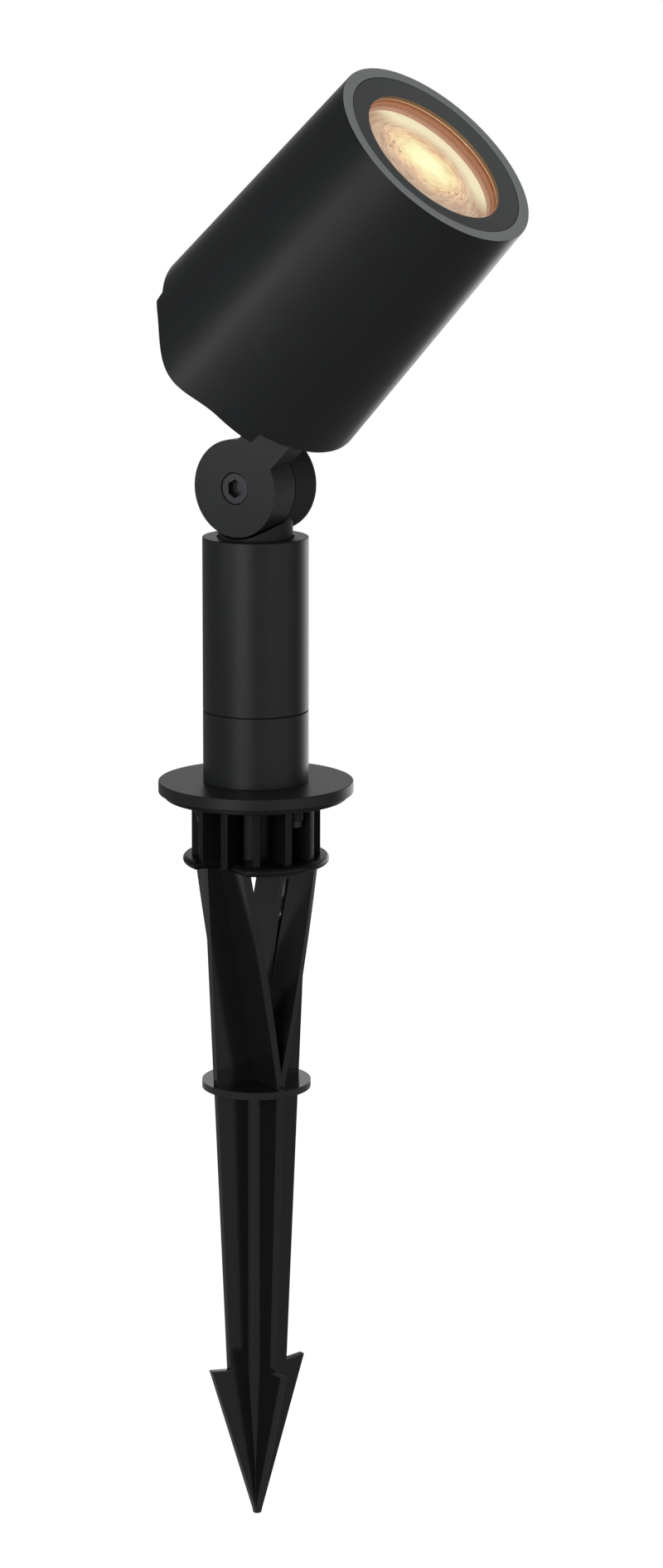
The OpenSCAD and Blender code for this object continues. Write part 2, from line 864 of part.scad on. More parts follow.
// The places of the screws that hold the collar, their heads sunk in the flange.
module flange_screw_places() {
    for (i = [0:screw_count - 1])
        rotate([0, 0, spike_turn + flange_screw_turn + 360 * i / screw_count])
            translate([flange_screw_out, 0, flange_low_z + flange_screw_sink])
                children();
}

module flange_disc() {
    color("#303134")
        difference() {
            bar(flange_r, flange_low_z, flange_t);
            bar(gland_r + seat_fit, flange_low_z - cut, flange_t + 2 * cut);
            flange_screw_places() {
                bar(flange_screw_d / 2 + screw_play, -cut, flange_t + cut);
                bar(
                    flange_screw_d / 2 * head_width_share + screw_play,
                    -flange_screw_sink - cut,
                    flange_screw_sink + cut
                );
            }
            spike_screw_places()
                bar(spike_screw_d / 2, 0, spike_screw_len + free_gap);
        }
}

module flange_screws() {
    color("#c0c2c5")
        flange_screw_places()
            screw(flange_screw_d / 2, flange_screw_len);
}

module cable_gland() {
    color("#1b1b1c")
        difference() {
            union() {
                bar(gland_r, flange_low_z, gland_top_z - flange_low_z);
                translate([0, 0, flange_low_z - gland_cap_h])
                    cylinder(r1 = gland_cap_r * gland_nose_share, r2 = gland_cap_r, h = gland_cap_h / 3);
                bar(gland_cap_r, flange_low_z - gland_cap_h * 2 / 3, gland_cap_h * 2 / 3);
            }
            bar(lead_r, flange_low_z - gland_cap_h - cut, gland_top_z + gland_cap_h);
        }
}

module gland_nut() {
    nut_z = flange_top_z + collar_floor_t;
    color("#1b1b1c")
        difference() {
            translate([0, 0, nut_z])
                cylinder(r = gland_nut_r, h = gland_nut_t, $fn = 6);
            bar(gland_r + run_fit, nut_z - cut, gland_nut_t + 2 * cut);
        }
}

// The lead's end inside the post, from the gland's upper end to the terminal block.
module inner_lead() {
    color("#1a1a1a")
        bar(lead_r - run_fit, gland_top_z, terminal_z - gland_top_z);
}

module terminal_block() {
    color("#e9e5da")
        difference() {
            union() {
                translate([-terminal_w / 2, -terminal_w / 2, terminal_z])
                    cube([terminal_w, terminal_w, terminal_h]);
                intersection() {
                    translate([-terminal_foot_w / 2, -terminal_w / 4, terminal_z])
                        cube([terminal_foot_w, terminal_w / 2, terminal_h / 4]);
                    bar(post_bore_r - seat_fit, terminal_z, terminal_h);
                }
            }
            for (side = [-1, 1])
                translate([side * terminal_w / 4, 0, terminal_z + terminal_h / 2])
                    bar(wire_r, 0, terminal_h);
        }
}

module base_gasket() {
    color("#101010")
        difference() {
            bar(dish_r - free_gap, dish_h, sheet_t);
            bar(gasket_bore_r, dish_h - cut, sheet_t + 2 * cut);
            spike_screw_places()
                bar(spike_screw_d / 2 + screw_play, 0, dish_h + flange_t);
        }
}

// The places of the screws from the dish into the flange, on the soil line.
module spike_screw_places() {
    rotate([0, 0, spike_turn])
        for (i = [0:screw_count - 1])
            rotate([0, 0, spike_screw_turn + 360 * i / screw_count])
                translate([spike_screw_r, 0, 0])
                    children();
}

// A quarter round from the barrel out to radius r, rising from z to the dish's edge.
function dish_arc(r, z) = [
    for (i = [0:dish_steps])
        let (a = 90 * i / dish_steps)
        [barrel_r + (r - barrel_r) * sin(a), z + (dish_h - z) * (1 - cos(a))]
];
function reversed(list) = [for (i = [len(list) - 1:-1:0]) list[i]];

module dish_shell() {
    rotate_extrude()
        polygon(concat(
            [[barrel_bore_r, 0]],
            dish_arc(dish_r, 0),
            reversed(dish_arc(dish_r - dish_wall, dish_wall)),
            [[barrel_bore_r, dish_wall]]
        ));
}

module spike_bosses() {
    rotate([0, 0, -spike_turn])
        spike_screw_places()
            bar(spike_boss_r, dish_wall - barb_lift, dish_h - dish_wall + barb_lift);
}

// The tube and ribs under the dish, and the ring that closes them.
module spike_barrel() {
    tube(barrel_core_r, barrel_bore_r, -ring_low_z, ring_low_z + dish_wall);
    for (i = [0:rib_count - 1])
        rotate([0, 0, 360 * i / rib_count])
            translate([barrel_core_r - barrel_core_wall / 2, -rib_t / 2, -barrel_h - ring_h / 2])
                cube([
                    barrel_r - barrel_core_r + barrel_core_wall / 2,
                    rib_t,
                    barrel_h + ring_h / 2 + dish_wall / 2
                ]);
    difference() {
        bar(low_ring_r, -ring_low_z, ring_h);
        bar(barrel_bore_r, -ring_low_z - cut, ring_h + 2 * cut);
        translate([rib_t / 2, -ring_flat - low_ring_r, -ring_low_z - cut])
            cube([low_ring_r, low_ring_r, ring_h + 2 * cut]);
    }
}

// One of the two walls that lean together from the ring down to the lower disc.
module slanted_wall() {
    intersection() {
        translate([0, 0, -disc_z])
            cylinder(r1 = wall_low_r, r2 = barrel_r, h = disc_z - ring_low_z);
        rotate([90, 0, 90])
            linear_extrude(height = 2 * barrel_d, center = true)
                polygon([
                    [-cage_half, -ring_low_z],
                    [-cage_half + wall_t, -ring_low_z],
                    [wall_t - rib_t / 2, -disc_z],
                    [-rib_t / 2, -disc_z]
                ]);
    }
}

// A fin that stands outside a slanted wall, from the ring to the lower disc.
module cage_fin() {
    rotate([90, 0, 90])
        linear_extrude(height = rib_t, center = true)
            polygon([
                [-fin_top_r, -ring_low_z],
                [-cage_half + wall_t + fin_poke, -ring_low_z],
                [0, -disc_z],
                [-fin_disc_r, -disc_z]
            ]);
}

// Half of the shaft's outline below the lower disc, with its barb.
module shaft_half() {
    polygon([
        [0, -low_disc_low_z],
        [fin_disc_r - fin_taper * low_disc_t, -low_disc_low_z],
        [fin_end_r, -barb_z],
        [barb_r, -barb_z + barb_lift],
        [point_r, -tip_z],
        [0, -tip_z]
    ]);
}

// The moulded spike is drawn in three lengths that meet face to face: the dish
// with its barrel, the cage, and the shaft. The first fin is along -Y before it is turned.
module spike_dish() {
    color("#1c1c1d")
        difference() {
            rotate([0, 0, spike_turn])
                union() {
                    dish_shell();
                    spike_bosses();
                    spike_barrel();
                }
            spike_screw_places()
                bar(spike_screw_d / 2 + screw_play, -cut, dish_h + 2 * cut);
        }
}

module spike_cage() {
    color("#1c1c1d")
        rotate([0, 0, spike_turn])
            union() {
                for (side = [0, 1])
                    mirror([0, side, 0]) {
                        slanted_wall();
                        cage_fin();
                    }
                bar(low_disc_r, -low_disc_low_z, low_disc_t);
            }
}

module spike_shaft() {
    color("#1c1c1d")
        rotate([0, 0, spike_turn])
            union() {
                for (turn = [0, 90])
                    rotate([90, 0, turn])
                        linear_extrude(height = rib_t, center = true) {
                            shaft_half();
                            mirror([1, 0])
                                shaft_half();
                        }
                bar(core_r, -barb_z, barb_z - low_disc_low_z);
                translate([0, 0, -tip_z])
                    cylinder(r1 = point_r, r2 = core_r, h = tip_z - barb_z);
            }
}

module spike_screws() {
    color("#8f9194")
        spike_screw_places()
            screw(spike_screw_d / 2, spike_screw_len);
}

head_shell();
cover_ring();
front_glass();
glass_gasket();
lamp_lens();
lamp_body();
lamp_pins();
lamp_holder();
holder_bracket();
holder_screws();
lamp_wires();
rear_cap();
cap_seal();
cap_screws();
tilt_knuckle();
foot_screws();
knuckle_screw();
friction_washer();
stem_knuckle();
stem_retainer();
stem_nut();
stem_wires();
swivel_bush();
post_tube();
post_collar();
flange_disc();
flange_screws();
cable_gland();
gland_nut();
inner_lead();
terminal_block();
base_gasket();
spike_dish();
spike_cage();
spike_shaft();
spike_screws();
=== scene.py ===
# %% [markdown]
# A garden spike spotlight is a small lamp on a stick: a tapered head on a bolted
# knuckle, a round post with a flange, and a moulded plastic spike for the soil. Its
# construction is already there as a fixed frame. This lesson puts the visible skin on
# it: rounded edges, paint with a fine grain, a lit lens, and the light of a studio.

# %% Load the frame
import json
from math import acos, atan2, cos, pi, radians, sin, sqrt, tan

import bmesh
import bpy
from mathutils import Matrix, Vector


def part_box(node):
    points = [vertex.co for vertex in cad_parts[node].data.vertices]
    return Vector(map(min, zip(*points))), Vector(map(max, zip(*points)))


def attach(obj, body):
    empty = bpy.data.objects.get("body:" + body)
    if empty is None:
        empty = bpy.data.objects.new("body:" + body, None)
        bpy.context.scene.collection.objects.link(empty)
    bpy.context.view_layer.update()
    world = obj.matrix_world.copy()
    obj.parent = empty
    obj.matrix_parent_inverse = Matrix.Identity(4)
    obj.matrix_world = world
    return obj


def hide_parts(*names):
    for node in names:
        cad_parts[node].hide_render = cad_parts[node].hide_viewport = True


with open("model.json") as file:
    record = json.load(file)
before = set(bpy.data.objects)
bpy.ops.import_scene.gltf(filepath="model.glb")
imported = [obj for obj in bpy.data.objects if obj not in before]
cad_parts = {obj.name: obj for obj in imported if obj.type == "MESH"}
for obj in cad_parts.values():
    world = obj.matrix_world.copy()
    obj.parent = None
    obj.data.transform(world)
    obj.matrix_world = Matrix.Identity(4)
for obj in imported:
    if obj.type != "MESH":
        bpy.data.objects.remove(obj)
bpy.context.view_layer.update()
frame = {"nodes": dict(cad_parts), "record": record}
nodes = frame["nodes"]
scene = bpy.context.scene
scene.view_settings.view_transform = "Standard"
MM = 0.001

# %% [markdown]
# The camera comes first, because every later choice is judged through it. It stands
# a bit over a metre away, to the right of the lamp's side and a little above it, and
# it looks slightly down. A long lens keeps the post's sides almost parallel.

# %% Camera
picture_height_px = 1893
focal_px = 5054.5
sensor_mm = 24.0
camera_turn = radians(35.495)
camera_distance = 1.12319
camera_height = 0.24566
camera_heading = camera_turn - radians(1.056)
camera_tilt = radians(11.953)
camera_roll = radians(0.125)

camera = bpy.data.objects.new("camera", bpy.data.cameras.new("camera"))
scene.collection.objects.link(camera)
scene.camera = camera
camera.data.sensor_fit = "VERTICAL"
camera.data.sensor_height = sensor_mm
camera.data.lens = sensor_mm * focal_px / picture_height_px
camera.data.clip_start = 0.01
camera_x = camera_distance * sin(camera_turn)
camera_y = -camera_distance * cos(camera_turn)
camera.matrix_world = (
    Matrix.Translation((camera_x, camera_y, camera_height))
    @ Matrix.Rotation(camera_heading, 4, "Z")
    @ Matrix.Rotation(pi / 2 - camera_tilt, 4, "X")
    @ Matrix.Rotation(camera_roll, 4, "Z")
)
print("lens:", round(camera.data.lens, 2), "mm")

# %% [markdown]
# A material and a Geometry Nodes tree are both nets of nodes. One helper adds a node,
# sets its options and fills its inputs, either with a value or with the output of
# another node. Colours are written as they look on a screen, so a second helper turns
# them into the linear values that a renderer adds up.


# %% Helpers for nodes and colours
def add(tree, kind, inputs=None, **options):
    node = tree.nodes.new(kind)
    for name, value in options.items():
        setattr(node, name, value)
    for key, value in (inputs or {}).items():
        if isinstance(value, bpy.types.NodeSocket):
            tree.links.new(value, node.inputs[key])
        else:
            node.inputs[key].default_value = value
    return node


def linear(colour):
    parts = [int(colour[i : i + 2], 16) / 255 for i in (1, 3, 5)]
    return tuple(((p + 0.055) / 1.055) ** 2.4 if p > 0.04045 else p / 12.92 for p in parts) + (1.0,)


print("#808080 in linear light:", round(linear("#808080")[0], 3))

# %% [markdown]
# Some steps come again and again, so each gets a short name: an empty material, sums
# with numbers and with vectors, noise with a width in millimetres, a value spread
# between two limits, a mix of two colours, and the surface made of all that.


# %% Helpers for materials
def empty_material(name):
    material = bpy.data.materials.new(name)
    material.use_nodes = True
    material.node_tree.nodes.clear()
    return material, material.node_tree


def math(tree, operation, *values):
    return add(tree, "ShaderNodeMath", dict(enumerate(values)), operation=operation).outputs[0]


def vector(tree, operation, *values):
    return add(tree, "ShaderNodeVectorMath", dict(enumerate(values)), operation=operation).outputs


def noise(tree, place, width_mm, detail):
    inputs = {"Vector": place, "Scale": 1 / (width_mm * MM), "Detail": detail}
    return add(tree, "ShaderNodeTexNoise", inputs).outputs["Fac"]


def between(tree, value, low, high):
    inputs = {"Value": value, "To Min": low, "To Max": high}
    return add(tree, "ShaderNodeMapRange", inputs).outputs[0]


def tint(tree, factor, under, over, blend="MIX"):
    options = {"data_type": "RGBA", "blend_type": blend}
    return add(tree, "ShaderNodeMix", {"Factor": factor, 6: under, 7: over}, **options).outputs[2]


def surface(tree, inputs):
    body = add(tree, "ShaderNodeBsdfPrincipled", inputs)
    add(tree, "ShaderNodeOutputMaterial", {"Surface": body.outputs[0]})


print("noise 0.5 mm wide:", round(1 / (0.5 * MM)), "waves to the metre")

# %% [markdown]
# The room is a white studio. What the camera or a pane of glass sees of it is pure
# white, but as a source of soft light it is dimmer, so that black paint stays black.
# Black gloss shows mostly what stands round it, and a studio has one white wall: a
# reflection finds the room white behind the lamp and dim on the other sides. The Light
# Path node tells the kinds of ray apart.

# %% White room
room_light = 0.5
dim_side = 0.15
white_wall = Vector((-0.25, 0.933, -0.259))
wall_edge = cos(radians(58))
wall_middle = cos(radians(24))


def by_ray(tree, direct, gloss, soft):
    path = add(tree, "ShaderNodeLightPath").outputs
    seen = math(tree, "MAXIMUM", path["Is Camera Ray"], path["Is Transmission Ray"])
    shine = add(tree, "ShaderNodeMix", {"Factor": path["Is Glossy Ray"], "A": soft, "B": gloss})
    return add(tree, "ShaderNodeMix", {"Factor": seen, "A": shine.outputs[0], "B": direct}).outputs[0]


world = bpy.data.worlds.new("white_room")
scene.world = world
world.use_nodes = True
room = world.node_tree
room.nodes.clear()
way = add(room, "ShaderNodeTexCoord").outputs["Object"]
limits = {
    "Value": vector(room, "DOT_PRODUCT", way, white_wall)["Value"],
    "From Min": wall_edge,
    "From Max": wall_middle,
    "To Min": dim_side,
}
side = add(room, "ShaderNodeMapRange", limits, interpolation_type="SMOOTHSTEP").outputs[0]
strength = by_ray(room, 1.0, side, room_light)
walls = add(room, "ShaderNodeBackground", {"Color": linear("#ffffff"), "Strength": strength})
add(room, "ShaderNodeOutputWorld", {"Surface": walls.outputs[0]})
print("room light:", room_light)

# %% [markdown]
# The floor lies under the point of the spike. Most of its white is its own, and the
# rest is light that falls on it, which is what lets a soft shadow show.

# %% Floor
floor_half = 4.0
floor_own_light = 0.93
floor_in_gloss = 0.2
floor_grey = "#6c6c6c"
floor_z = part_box("spike_shaft")[0].z

floor_mesh = bpy.data.meshes.new("floor")
corners = ((-1, -1), (1, -1), (1, 1), (-1, 1))
corners = [(x * floor_half, y * floor_half, floor_z) for x, y in corners]
floor_mesh.from_pydata(corners, [], [(0, 1, 2, 3)])
floor = bpy.data.objects.new("floor", floor_mesh)
scene.collection.objects.link(floor)
floor_paint, tree = empty_material("white_floor")
own = by_ray(tree, floor_own_light, floor_in_gloss, 0.0)
matt = add(tree, "ShaderNodeBsdfDiffuse", {"Color": linear(floor_grey)})
glow = add(tree, "ShaderNodeEmission", {"Color": linear("#ffffff"), "Strength": own})
both = add(tree, "ShaderNodeAddShader", {0: matt.outputs[0], 1: glow.outputs[0]})
add(tree, "ShaderNodeOutputMaterial", {"Surface": both.outputs[0]})
floor_mesh.materials.append(floor_paint)
print("floor at", round(floor_z, 4), "m")

# %% [markdown]
# Black paint shows its shape by what it reflects. A large softbox in front draws the
# soft bright band down the post. The head leans, so its own band needs a lamp further
# left and lower, with a narrow spread, like a softbox with a grid. A weak one on the
# right lifts the shaded side, and one behind lights the right edges. Each is placed by
# its aim, its turn and rise seen from there, and its distance, then by its width and
# height in metres and its power in watts.

# %% Softboxes
post_aim = Vector((0.0, 0.0, 0.04))
head_aim = Vector((0.024, 0.0, 0.17))


def softbox(name, aim, turn, rise, distance, width, height, power, spread=180):
    light = bpy.data.lights.new(name, "AREA")
    light.shape = "RECTANGLE"
    light.size = width
    light.size_y = height
    light.energy = power
    light.spread = radians(spread)
    box = bpy.data.objects.new(name, light)
    scene.collection.objects.link(box)
    away = Vector((sin(turn) * cos(rise), -cos(turn) * cos(rise), sin(rise)))
    facing = away.to_track_quat("Z", "Y").to_matrix().to_4x4()
    box.matrix_world = Matrix.Translation(aim + away * distance) @ facing


softbox("key_light", post_aim, radians(5.5), radians(8), 1.3, 0.8, 0.75, 14.0)
softbox("head_light", head_aim, radians(-34), radians(-9), 0.9, 0.12, 0.14, 0.012, spread=10)
softbox("side_light", post_aim, radians(85), radians(-2), 1.2, 1.6, 0.46, 4.6)
softbox("back_light", post_aim, radians(180), radians(-6.5), 0.8, 0.6, 0.3, 1.5)
print("softboxes:", len(bpy.data.lights))

# %% [markdown]
# Powder coat is paint baked from dry powder. It sets to a fine orange peel, a pattern
# of shallow bumps about half a millimetre apart, and its gloss is low and uneven. The
# same recipe, with other numbers, gives moulded plastic, rubber, ceramic and plated
# steel: a base colour that drifts a little, and a grain that sets bumps and roughness.


# %% A finish with a grain
def finish(name, colour, roughness, grain_mm, depth_mm, drift=0.12, blotch_mm=9.0, **shader):
    material, tree = empty_material(name)
    place = add(tree, "ShaderNodeTexCoord").outputs["Object"]
    blotch = noise(tree, place, blotch_mm, detail=4.0)
    grain = noise(tree, place, grain_mm, detail=3.0)
    darker = tuple(c * (1 - drift) for c in linear(colour)[:3]) + (1.0,)
    lighter = tuple(c * (1 + drift) for c in linear(colour)[:3]) + (1.0,)
    tone = tint(tree, blotch, darker, lighter)
    rough = between(tree, grain, roughness * (1 - drift), roughness * (1 + drift))
    bump = add(tree, "ShaderNodeBump", {"Height": grain, "Distance": depth_mm * MM, "Strength": 1.0})
    surface(tree, {"Base Color": tone, "Roughness": rough, "Normal": bump.outputs[0], **shader})
    return material


def specular(level):
    return {"Specular IOR Level": level}


def lit(colour, strength):
    return {"Emission Color": linear(colour), "Emission Strength": strength}


print("materials so far:", len(bpy.data.materials))

# %% [markdown]
# Now each real material gets its numbers: a name, a colour, a roughness, and the width
# and depth of its grain in millimetres. Black pieces differ by their shine more than by
# their colour, so paint, blasted metal and moulded plastic each have a gloss of their own.

# %% Finishes outside
# Powder-coated aluminium: satin black with an orange peel half a millimetre wide.
powder_coat = finish("black_powder_coat", "#1b1c1d", 0.38, 0.5, 0.001, **specular(0.13))
# The turned front rim takes the light flatter: its grey is a painted highlight on the black coat.
rim_highlight_coat = finish("front_rim_painted_highlight", "#7e8081", 0.8, 0.4, 0.006, drift=0.05, **specular(0.1))
# The stem is coated thinner over a blasted skin, which scatters more.
stem_coat = finish("blasted_black_coat", "#222324", 0.6, 0.5, 0.003, **specular(0.04))
# Matt baked paint on the cover ring, darker than the rim. Its mid grey is a painted highlight of the
# light on its front face.
ring_highlight_paint = finish("matt_ring_highlight_paint", "#4f5051", 0.9, 0.35, 0.005, drift=0.05, **specular(0.06))
# Injection-moulded ABS: black right through, with a satin skin from the mould.
spike_plastic = finish(
    "moulded_black_abs", "#0e0e0f", 0.36, 1.2, 0.001, blotch_mm=25.0, **specular(0.12)
)
# The walls of the cage and the shaft come off polished mould faces, so they mirror more.
polished_abs = finish("polished_black_abs", "#121213", 0.14, 1.2, 0.0003, blotch_mm=25.0)
# Black-oxide steel of the socket screws: a dark metal with a soft shine.
black_steel = finish("black_oxide_steel", "#2a2b2d", 0.4, 0.3, 0.002, Metallic=0.8)
print("materials now:", len(bpy.data.materials))

# %% Finishes inside
# Zinc-plated steel, bright and faintly blotched.
plated_steel = finish("zinc_plated_steel", "#b9bcc0", 0.32, 0.6, 0.002, Metallic=1.0)
# Steatite ceramic of the lamp holder, chalky and matt.
steatite = finish("steatite_ceramic", "#e8e4d8", 0.7, 0.5, 0.01)
# Nitrile rubber of the seals: near black and dull.
seal_rubber = finish("seal_rubber", "#151515", 0.8, 0.4, 0.008)
# Acetal of the bearing bush: creamy, with a waxy shine.
acetal = finish("natural_acetal", "#d9d7cf", 0.45, 1.0, 0.003)
# Nylon of the cable gland: black, with a faint grain.
gland_nylon = finish("black_nylon", "#1b1b1c", 0.55, 0.6, 0.006)
# Polyamide of the terminal block: ivory and half matt.
terminal_nylon = finish("ivory_nylon", "#e4e0d4", 0.5, 0.8, 0.004)
# Silicone sheath of the wires: red-brown and half matt.
wire_sheath = finish("red_brown_sheath", "#9a4528", 0.5, 0.8, 0.004)
# Rubber sheath of the lead: black and dull.
lead_sheath = finish("black_lead_sheath", "#1a1a1a", 0.6, 0.8, 0.006)
# The lamp's moulded glass body, coated outside: milky grey with a gloss.
lamp_glass = finish("coated_lamp_glass", "#d8d4cc", 0.25, 2.0, 0.004)
print("materials now:", len(bpy.data.materials))

# %% Finishes in the lamp's light
# The gasket and pocket wall, which the lamp lights from inside: that light is painted on as a glowing
# copper colour.
lamp_glow_wall = finish("lining_painted_lamp_glow", "#a8714f", 0.6, 0.8, 0.001, drift=0.03, **lit("#a8714f", 0.35))
# The lip's inner edge: the lamp's light on it is painted on as a dim bronze glow.
lip_lamp_glow = finish("lip_painted_lamp_glow", "#6e5030", 0.5, 0.8, 0.004, **lit("#6e5030", 0.3))
# A painted highlight: the bright line where the lit glass meets the lip, drawn as a glow.
lip_edge_highlight = finish("lip_edge_painted_highlight", "#ffd2b0", 0.4, 0.8, 0.002, **lit("#ffd2b0", 0.7))
print("materials now:", len(bpy.data.materials))

# %% [markdown]
# The head leans on its own axis. Drawn on that axis it is a plain turned part, so a
# frame of its own is read from the window's mount: the origin at the middle of the
# front rim, z running back into the head and x up. Each piece is drawn in
# millimetres in such a frame, and its place goes into the mesh at the end.

# %% Frames of the head, the post and the spike
window = next(m for m in frame["record"]["mounts"] if m["name"] == "window")
head_axis = Vector(window["axis"]).normalized()
head_up = Vector((-head_axis.z, 0.0, head_axis.x))
depths = [(v.co - Vector(window["pos_m"])).dot(head_axis) for v in nodes["head_shell"].data.vertices]
front_middle = Vector(window["pos_m"]) + head_axis * max(depths)
turn_to_head = Matrix((head_up, Vector((0, 1, 0)), -head_axis)).transposed().to_4x4()
HEAD = Matrix.Translation(front_middle) @ turn_to_head @ Matrix.Scale(MM, 4)
POST = Matrix.Scale(MM, 4)
spike_turn = radians(-24.2)
SPIKE = Matrix.Rotation(spike_turn, 4, "Z") @ POST


def span(node, place):
    inside = place.inverted()
    points = [inside @ v.co for v in nodes[node].data.vertices]
    low = [min(p[i] for p in points) for i in range(3)]
    high = [max(p[i] for p in points) for i in range(3)]
    return Vector(low), Vector(high)


for node, place in (("cover_ring", HEAD), ("rear_cap", HEAD), ("spike_dish", SPIKE)):
    low, high = span(node, place)
    print(node, [round(v, 2) for v in low], [round(v, 2) for v in high])

# %% [markdown]
# Real edges are never knife sharp: paint and mould leave them a few tenths of a
# millimetre round, and that thin round catches a line of light. So an outline is
# written as corners with a radius each, and this helper turns each corner into an arc.


# %% Rounded outlines
def rounded(corners, steps=5):
    points = []
    for before, here, after in zip(corners[-1:] + corners[:-1], corners, corners[1:] + corners[:1]):
        corner = Vector(here[:2])
        if here[2] == 0:
            points.append(corner)
            continue
        back = (Vector(before[:2]) - corner).normalized()
        ahead = (Vector(after[:2]) - corner).normalized()
        half = back.angle(ahead) / 2
        reach = here[2] / tan(half)
        centre = corner + (back + ahead).normalized() * here[2] / sin(half)
        start = corner + back * reach - centre
        end = corner + ahead * reach - centre
        points += [centre + start.slerp(end, i / steps) * here[2] for i in range(steps + 1)]
    return points


square = [(0, 0, 1), (9, 0, 1), (9, 9, 1), (0, 9, 1)]
print("a square with round corners:", len(rounded(square)), "points")

# %% [markdown]
# Whatever made a mesh, it is finished the same way. Points that coincide are merged,
# faces are turned outwards, edges sharper than the limit stay crisp and the rest are
# smooth. Normals are weighted by face area, so that a flat face beside a thin round
# stays flat to the light. Only then does the piece ride on its body.

# %% Cleaning a mesh
crisp_edge = radians(32)
merge_mm = 0.002


def clean(mesh, place=Matrix.Identity(4)):
    mesh.transform(place)
    shape = bmesh.new()
    shape.from_mesh(mesh)
    bmesh.ops.remove_doubles(shape, verts=shape.verts, dist=merge_mm * MM)
    bmesh.ops.dissolve_degenerate(shape, edges=shape.edges, dist=merge_mm * MM / 4)
    bmesh.ops.recalc_face_normals(shape, faces=shape.faces)
    open_edges = sum(not e.is_manifold for e in shape.edges)
    shape.to_mesh(mesh)
    shape.free()
    mesh.shade_smooth()
    mesh.set_sharp_from_angle(angle=crisp_edge)
    return open_edges


print("crisp from", round(crisp_edge / radians(1)), "degrees, merged within", merge_mm, "mm")


# %% Showing a piece
def plain_mesh(thing):
    evaluated = thing.evaluated_get(bpy.context.evaluated_depsgraph_get())
    result = bpy.data.meshes.new_from_object(evaluated)
    thing.modifiers.clear()
    bpy.data.objects.remove(thing)
    return result


def show(name, mesh, body, replaced=(), finishes=()):
    for material in finishes:
        mesh.materials.append(material)
    thing = bpy.data.objects.new(name + "_raw", mesh)
    scene.collection.objects.link(thing)
    thing.modifiers.new("weights", "WEIGHTED_NORMAL").keep_sharp = True
    mesh = plain_mesh(thing)
    mesh.name = name
    piece = bpy.data.objects.new(name, mesh)
    scene.collection.objects.link(piece)
    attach(piece, body)
    if replaced:
        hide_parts(*replaced)
    print(name, "faces:", len(mesh.polygons))


# %% [markdown]
# Most of this lamp is turned work: an outline spun round an axis. That is a rule, so
# Geometry Nodes do it: the outline's edges become a curve, and Curve to Mesh sweeps it
# along a circle. The circle has a radius of one millimetre, which is taken off the
# outline first, and the sweep points the outline's second coordinate down.

# %% Tree that spins an outline
circle_r = 1.0
spin = bpy.data.node_groups.new("spin_outline", "GeometryNodeTree")
for name, kind in (("Outline", "Geometry"), ("Steps", "Int"), ("Finish", "Material")):
    spin.interface.new_socket(name, in_out="INPUT", socket_type="NodeSocket" + kind)
spin.interface.new_socket("Piece", in_out="OUTPUT", socket_type="NodeSocketGeometry")
given = add(spin, "NodeGroupInput").outputs
profile = add(spin, "GeometryNodeMeshToCurve", {"Mesh": given["Outline"]}).outputs["Curve"]
circle = add(
    spin,
    "GeometryNodeCurvePrimitiveCircle",
    {"Resolution": given["Steps"], "Radius": circle_r},
).outputs["Curve"]
swept = add(spin, "GeometryNodeCurveToMesh", {"Curve": circle, "Profile Curve": profile})
real = add(spin, "GeometryNodeRealizeInstances", {"Geometry": swept.outputs[0]}).outputs[0]
painted = add(spin, "GeometryNodeSetMaterial", {"Geometry": real, "Material": given["Finish"]})
add(spin, "NodeGroupOutput", {"Piece": painted.outputs[0]})
print("nodes in the tree:", len(spin.nodes))

# %% [markdown]
# A tree works on an object through a modifier. Its inputs are set by their identifiers
# before the object is first evaluated, and the result is copied out as a plain mesh. A
# piece with several finishes then gets them face by face, by a rule on the radius and
# the depth in its own frame.


# %% Turned pieces
def grow(tree, mesh, **inputs):
    thing = bpy.data.objects.new(tree.name, mesh)
    scene.collection.objects.link(thing)
    modifier = thing.modifiers.new(tree.name, "NODES")
    modifier.node_group = tree
    for socket in tree.interface.items_tree:
        if socket.in_out == "INPUT" and socket.name in inputs:
            modifier[socket.identifier] = inputs[socket.name]
    return plain_mesh(thing)


def turned(points, material, place, steps=160, closed=True):
    count = len(points)
    outline = bpy.data.meshes.new("outline")
    corners = [(radius - circle_r, -height, 0.0) for radius, height in points]
    links = count if closed else count - 1
    outline.from_pydata(corners, [(i, (i + 1) % count) for i in range(links)], [])
    mesh = grow(spin, outline, Steps=steps, Finish=material)
    open_edges = clean(mesh, place)
    print("turned:", len(mesh.vertices), "points, open edges:", open_edges)
    return mesh


def paint_faces(mesh, place, rule):
    inside = place.inverted()
    for face in mesh.polygons:
        middle = inside @ face.center
        face.material_index = rule(sqrt(middle.x**2 + middle.y**2), middle.z)


# %% [markdown]
# The post is two turned aluminium tubes that meet at a seam. In the light the seam is
# a thin black line, so a groove a quarter of a millimetre wide is turned there, with a
# small round on each side. The outer sizes are read from the frame's own solids.

# %% Post tube
coat_round = 0.3
seam_round = 0.16
tube_low, tube_high = span("post_tube", POST)
collar_low, collar_high = span("post_collar", POST)
bush_z = span("swivel_bush", POST)[0].z
post_r = collar_high.x
seam_z = collar_high.z
stem_play = 0.4
stem_r = 10.15
recess_depth = 5.0
recess_r = stem_r + stem_play
recess_z = tube_high.z - recess_depth
hollow_r = 11.0
spigot_r = (post_r + hollow_r) / 2
bush_r = 8.05
groove_half = 0.12
groove_depth = 1.0
groove_r = post_r - groove_depth

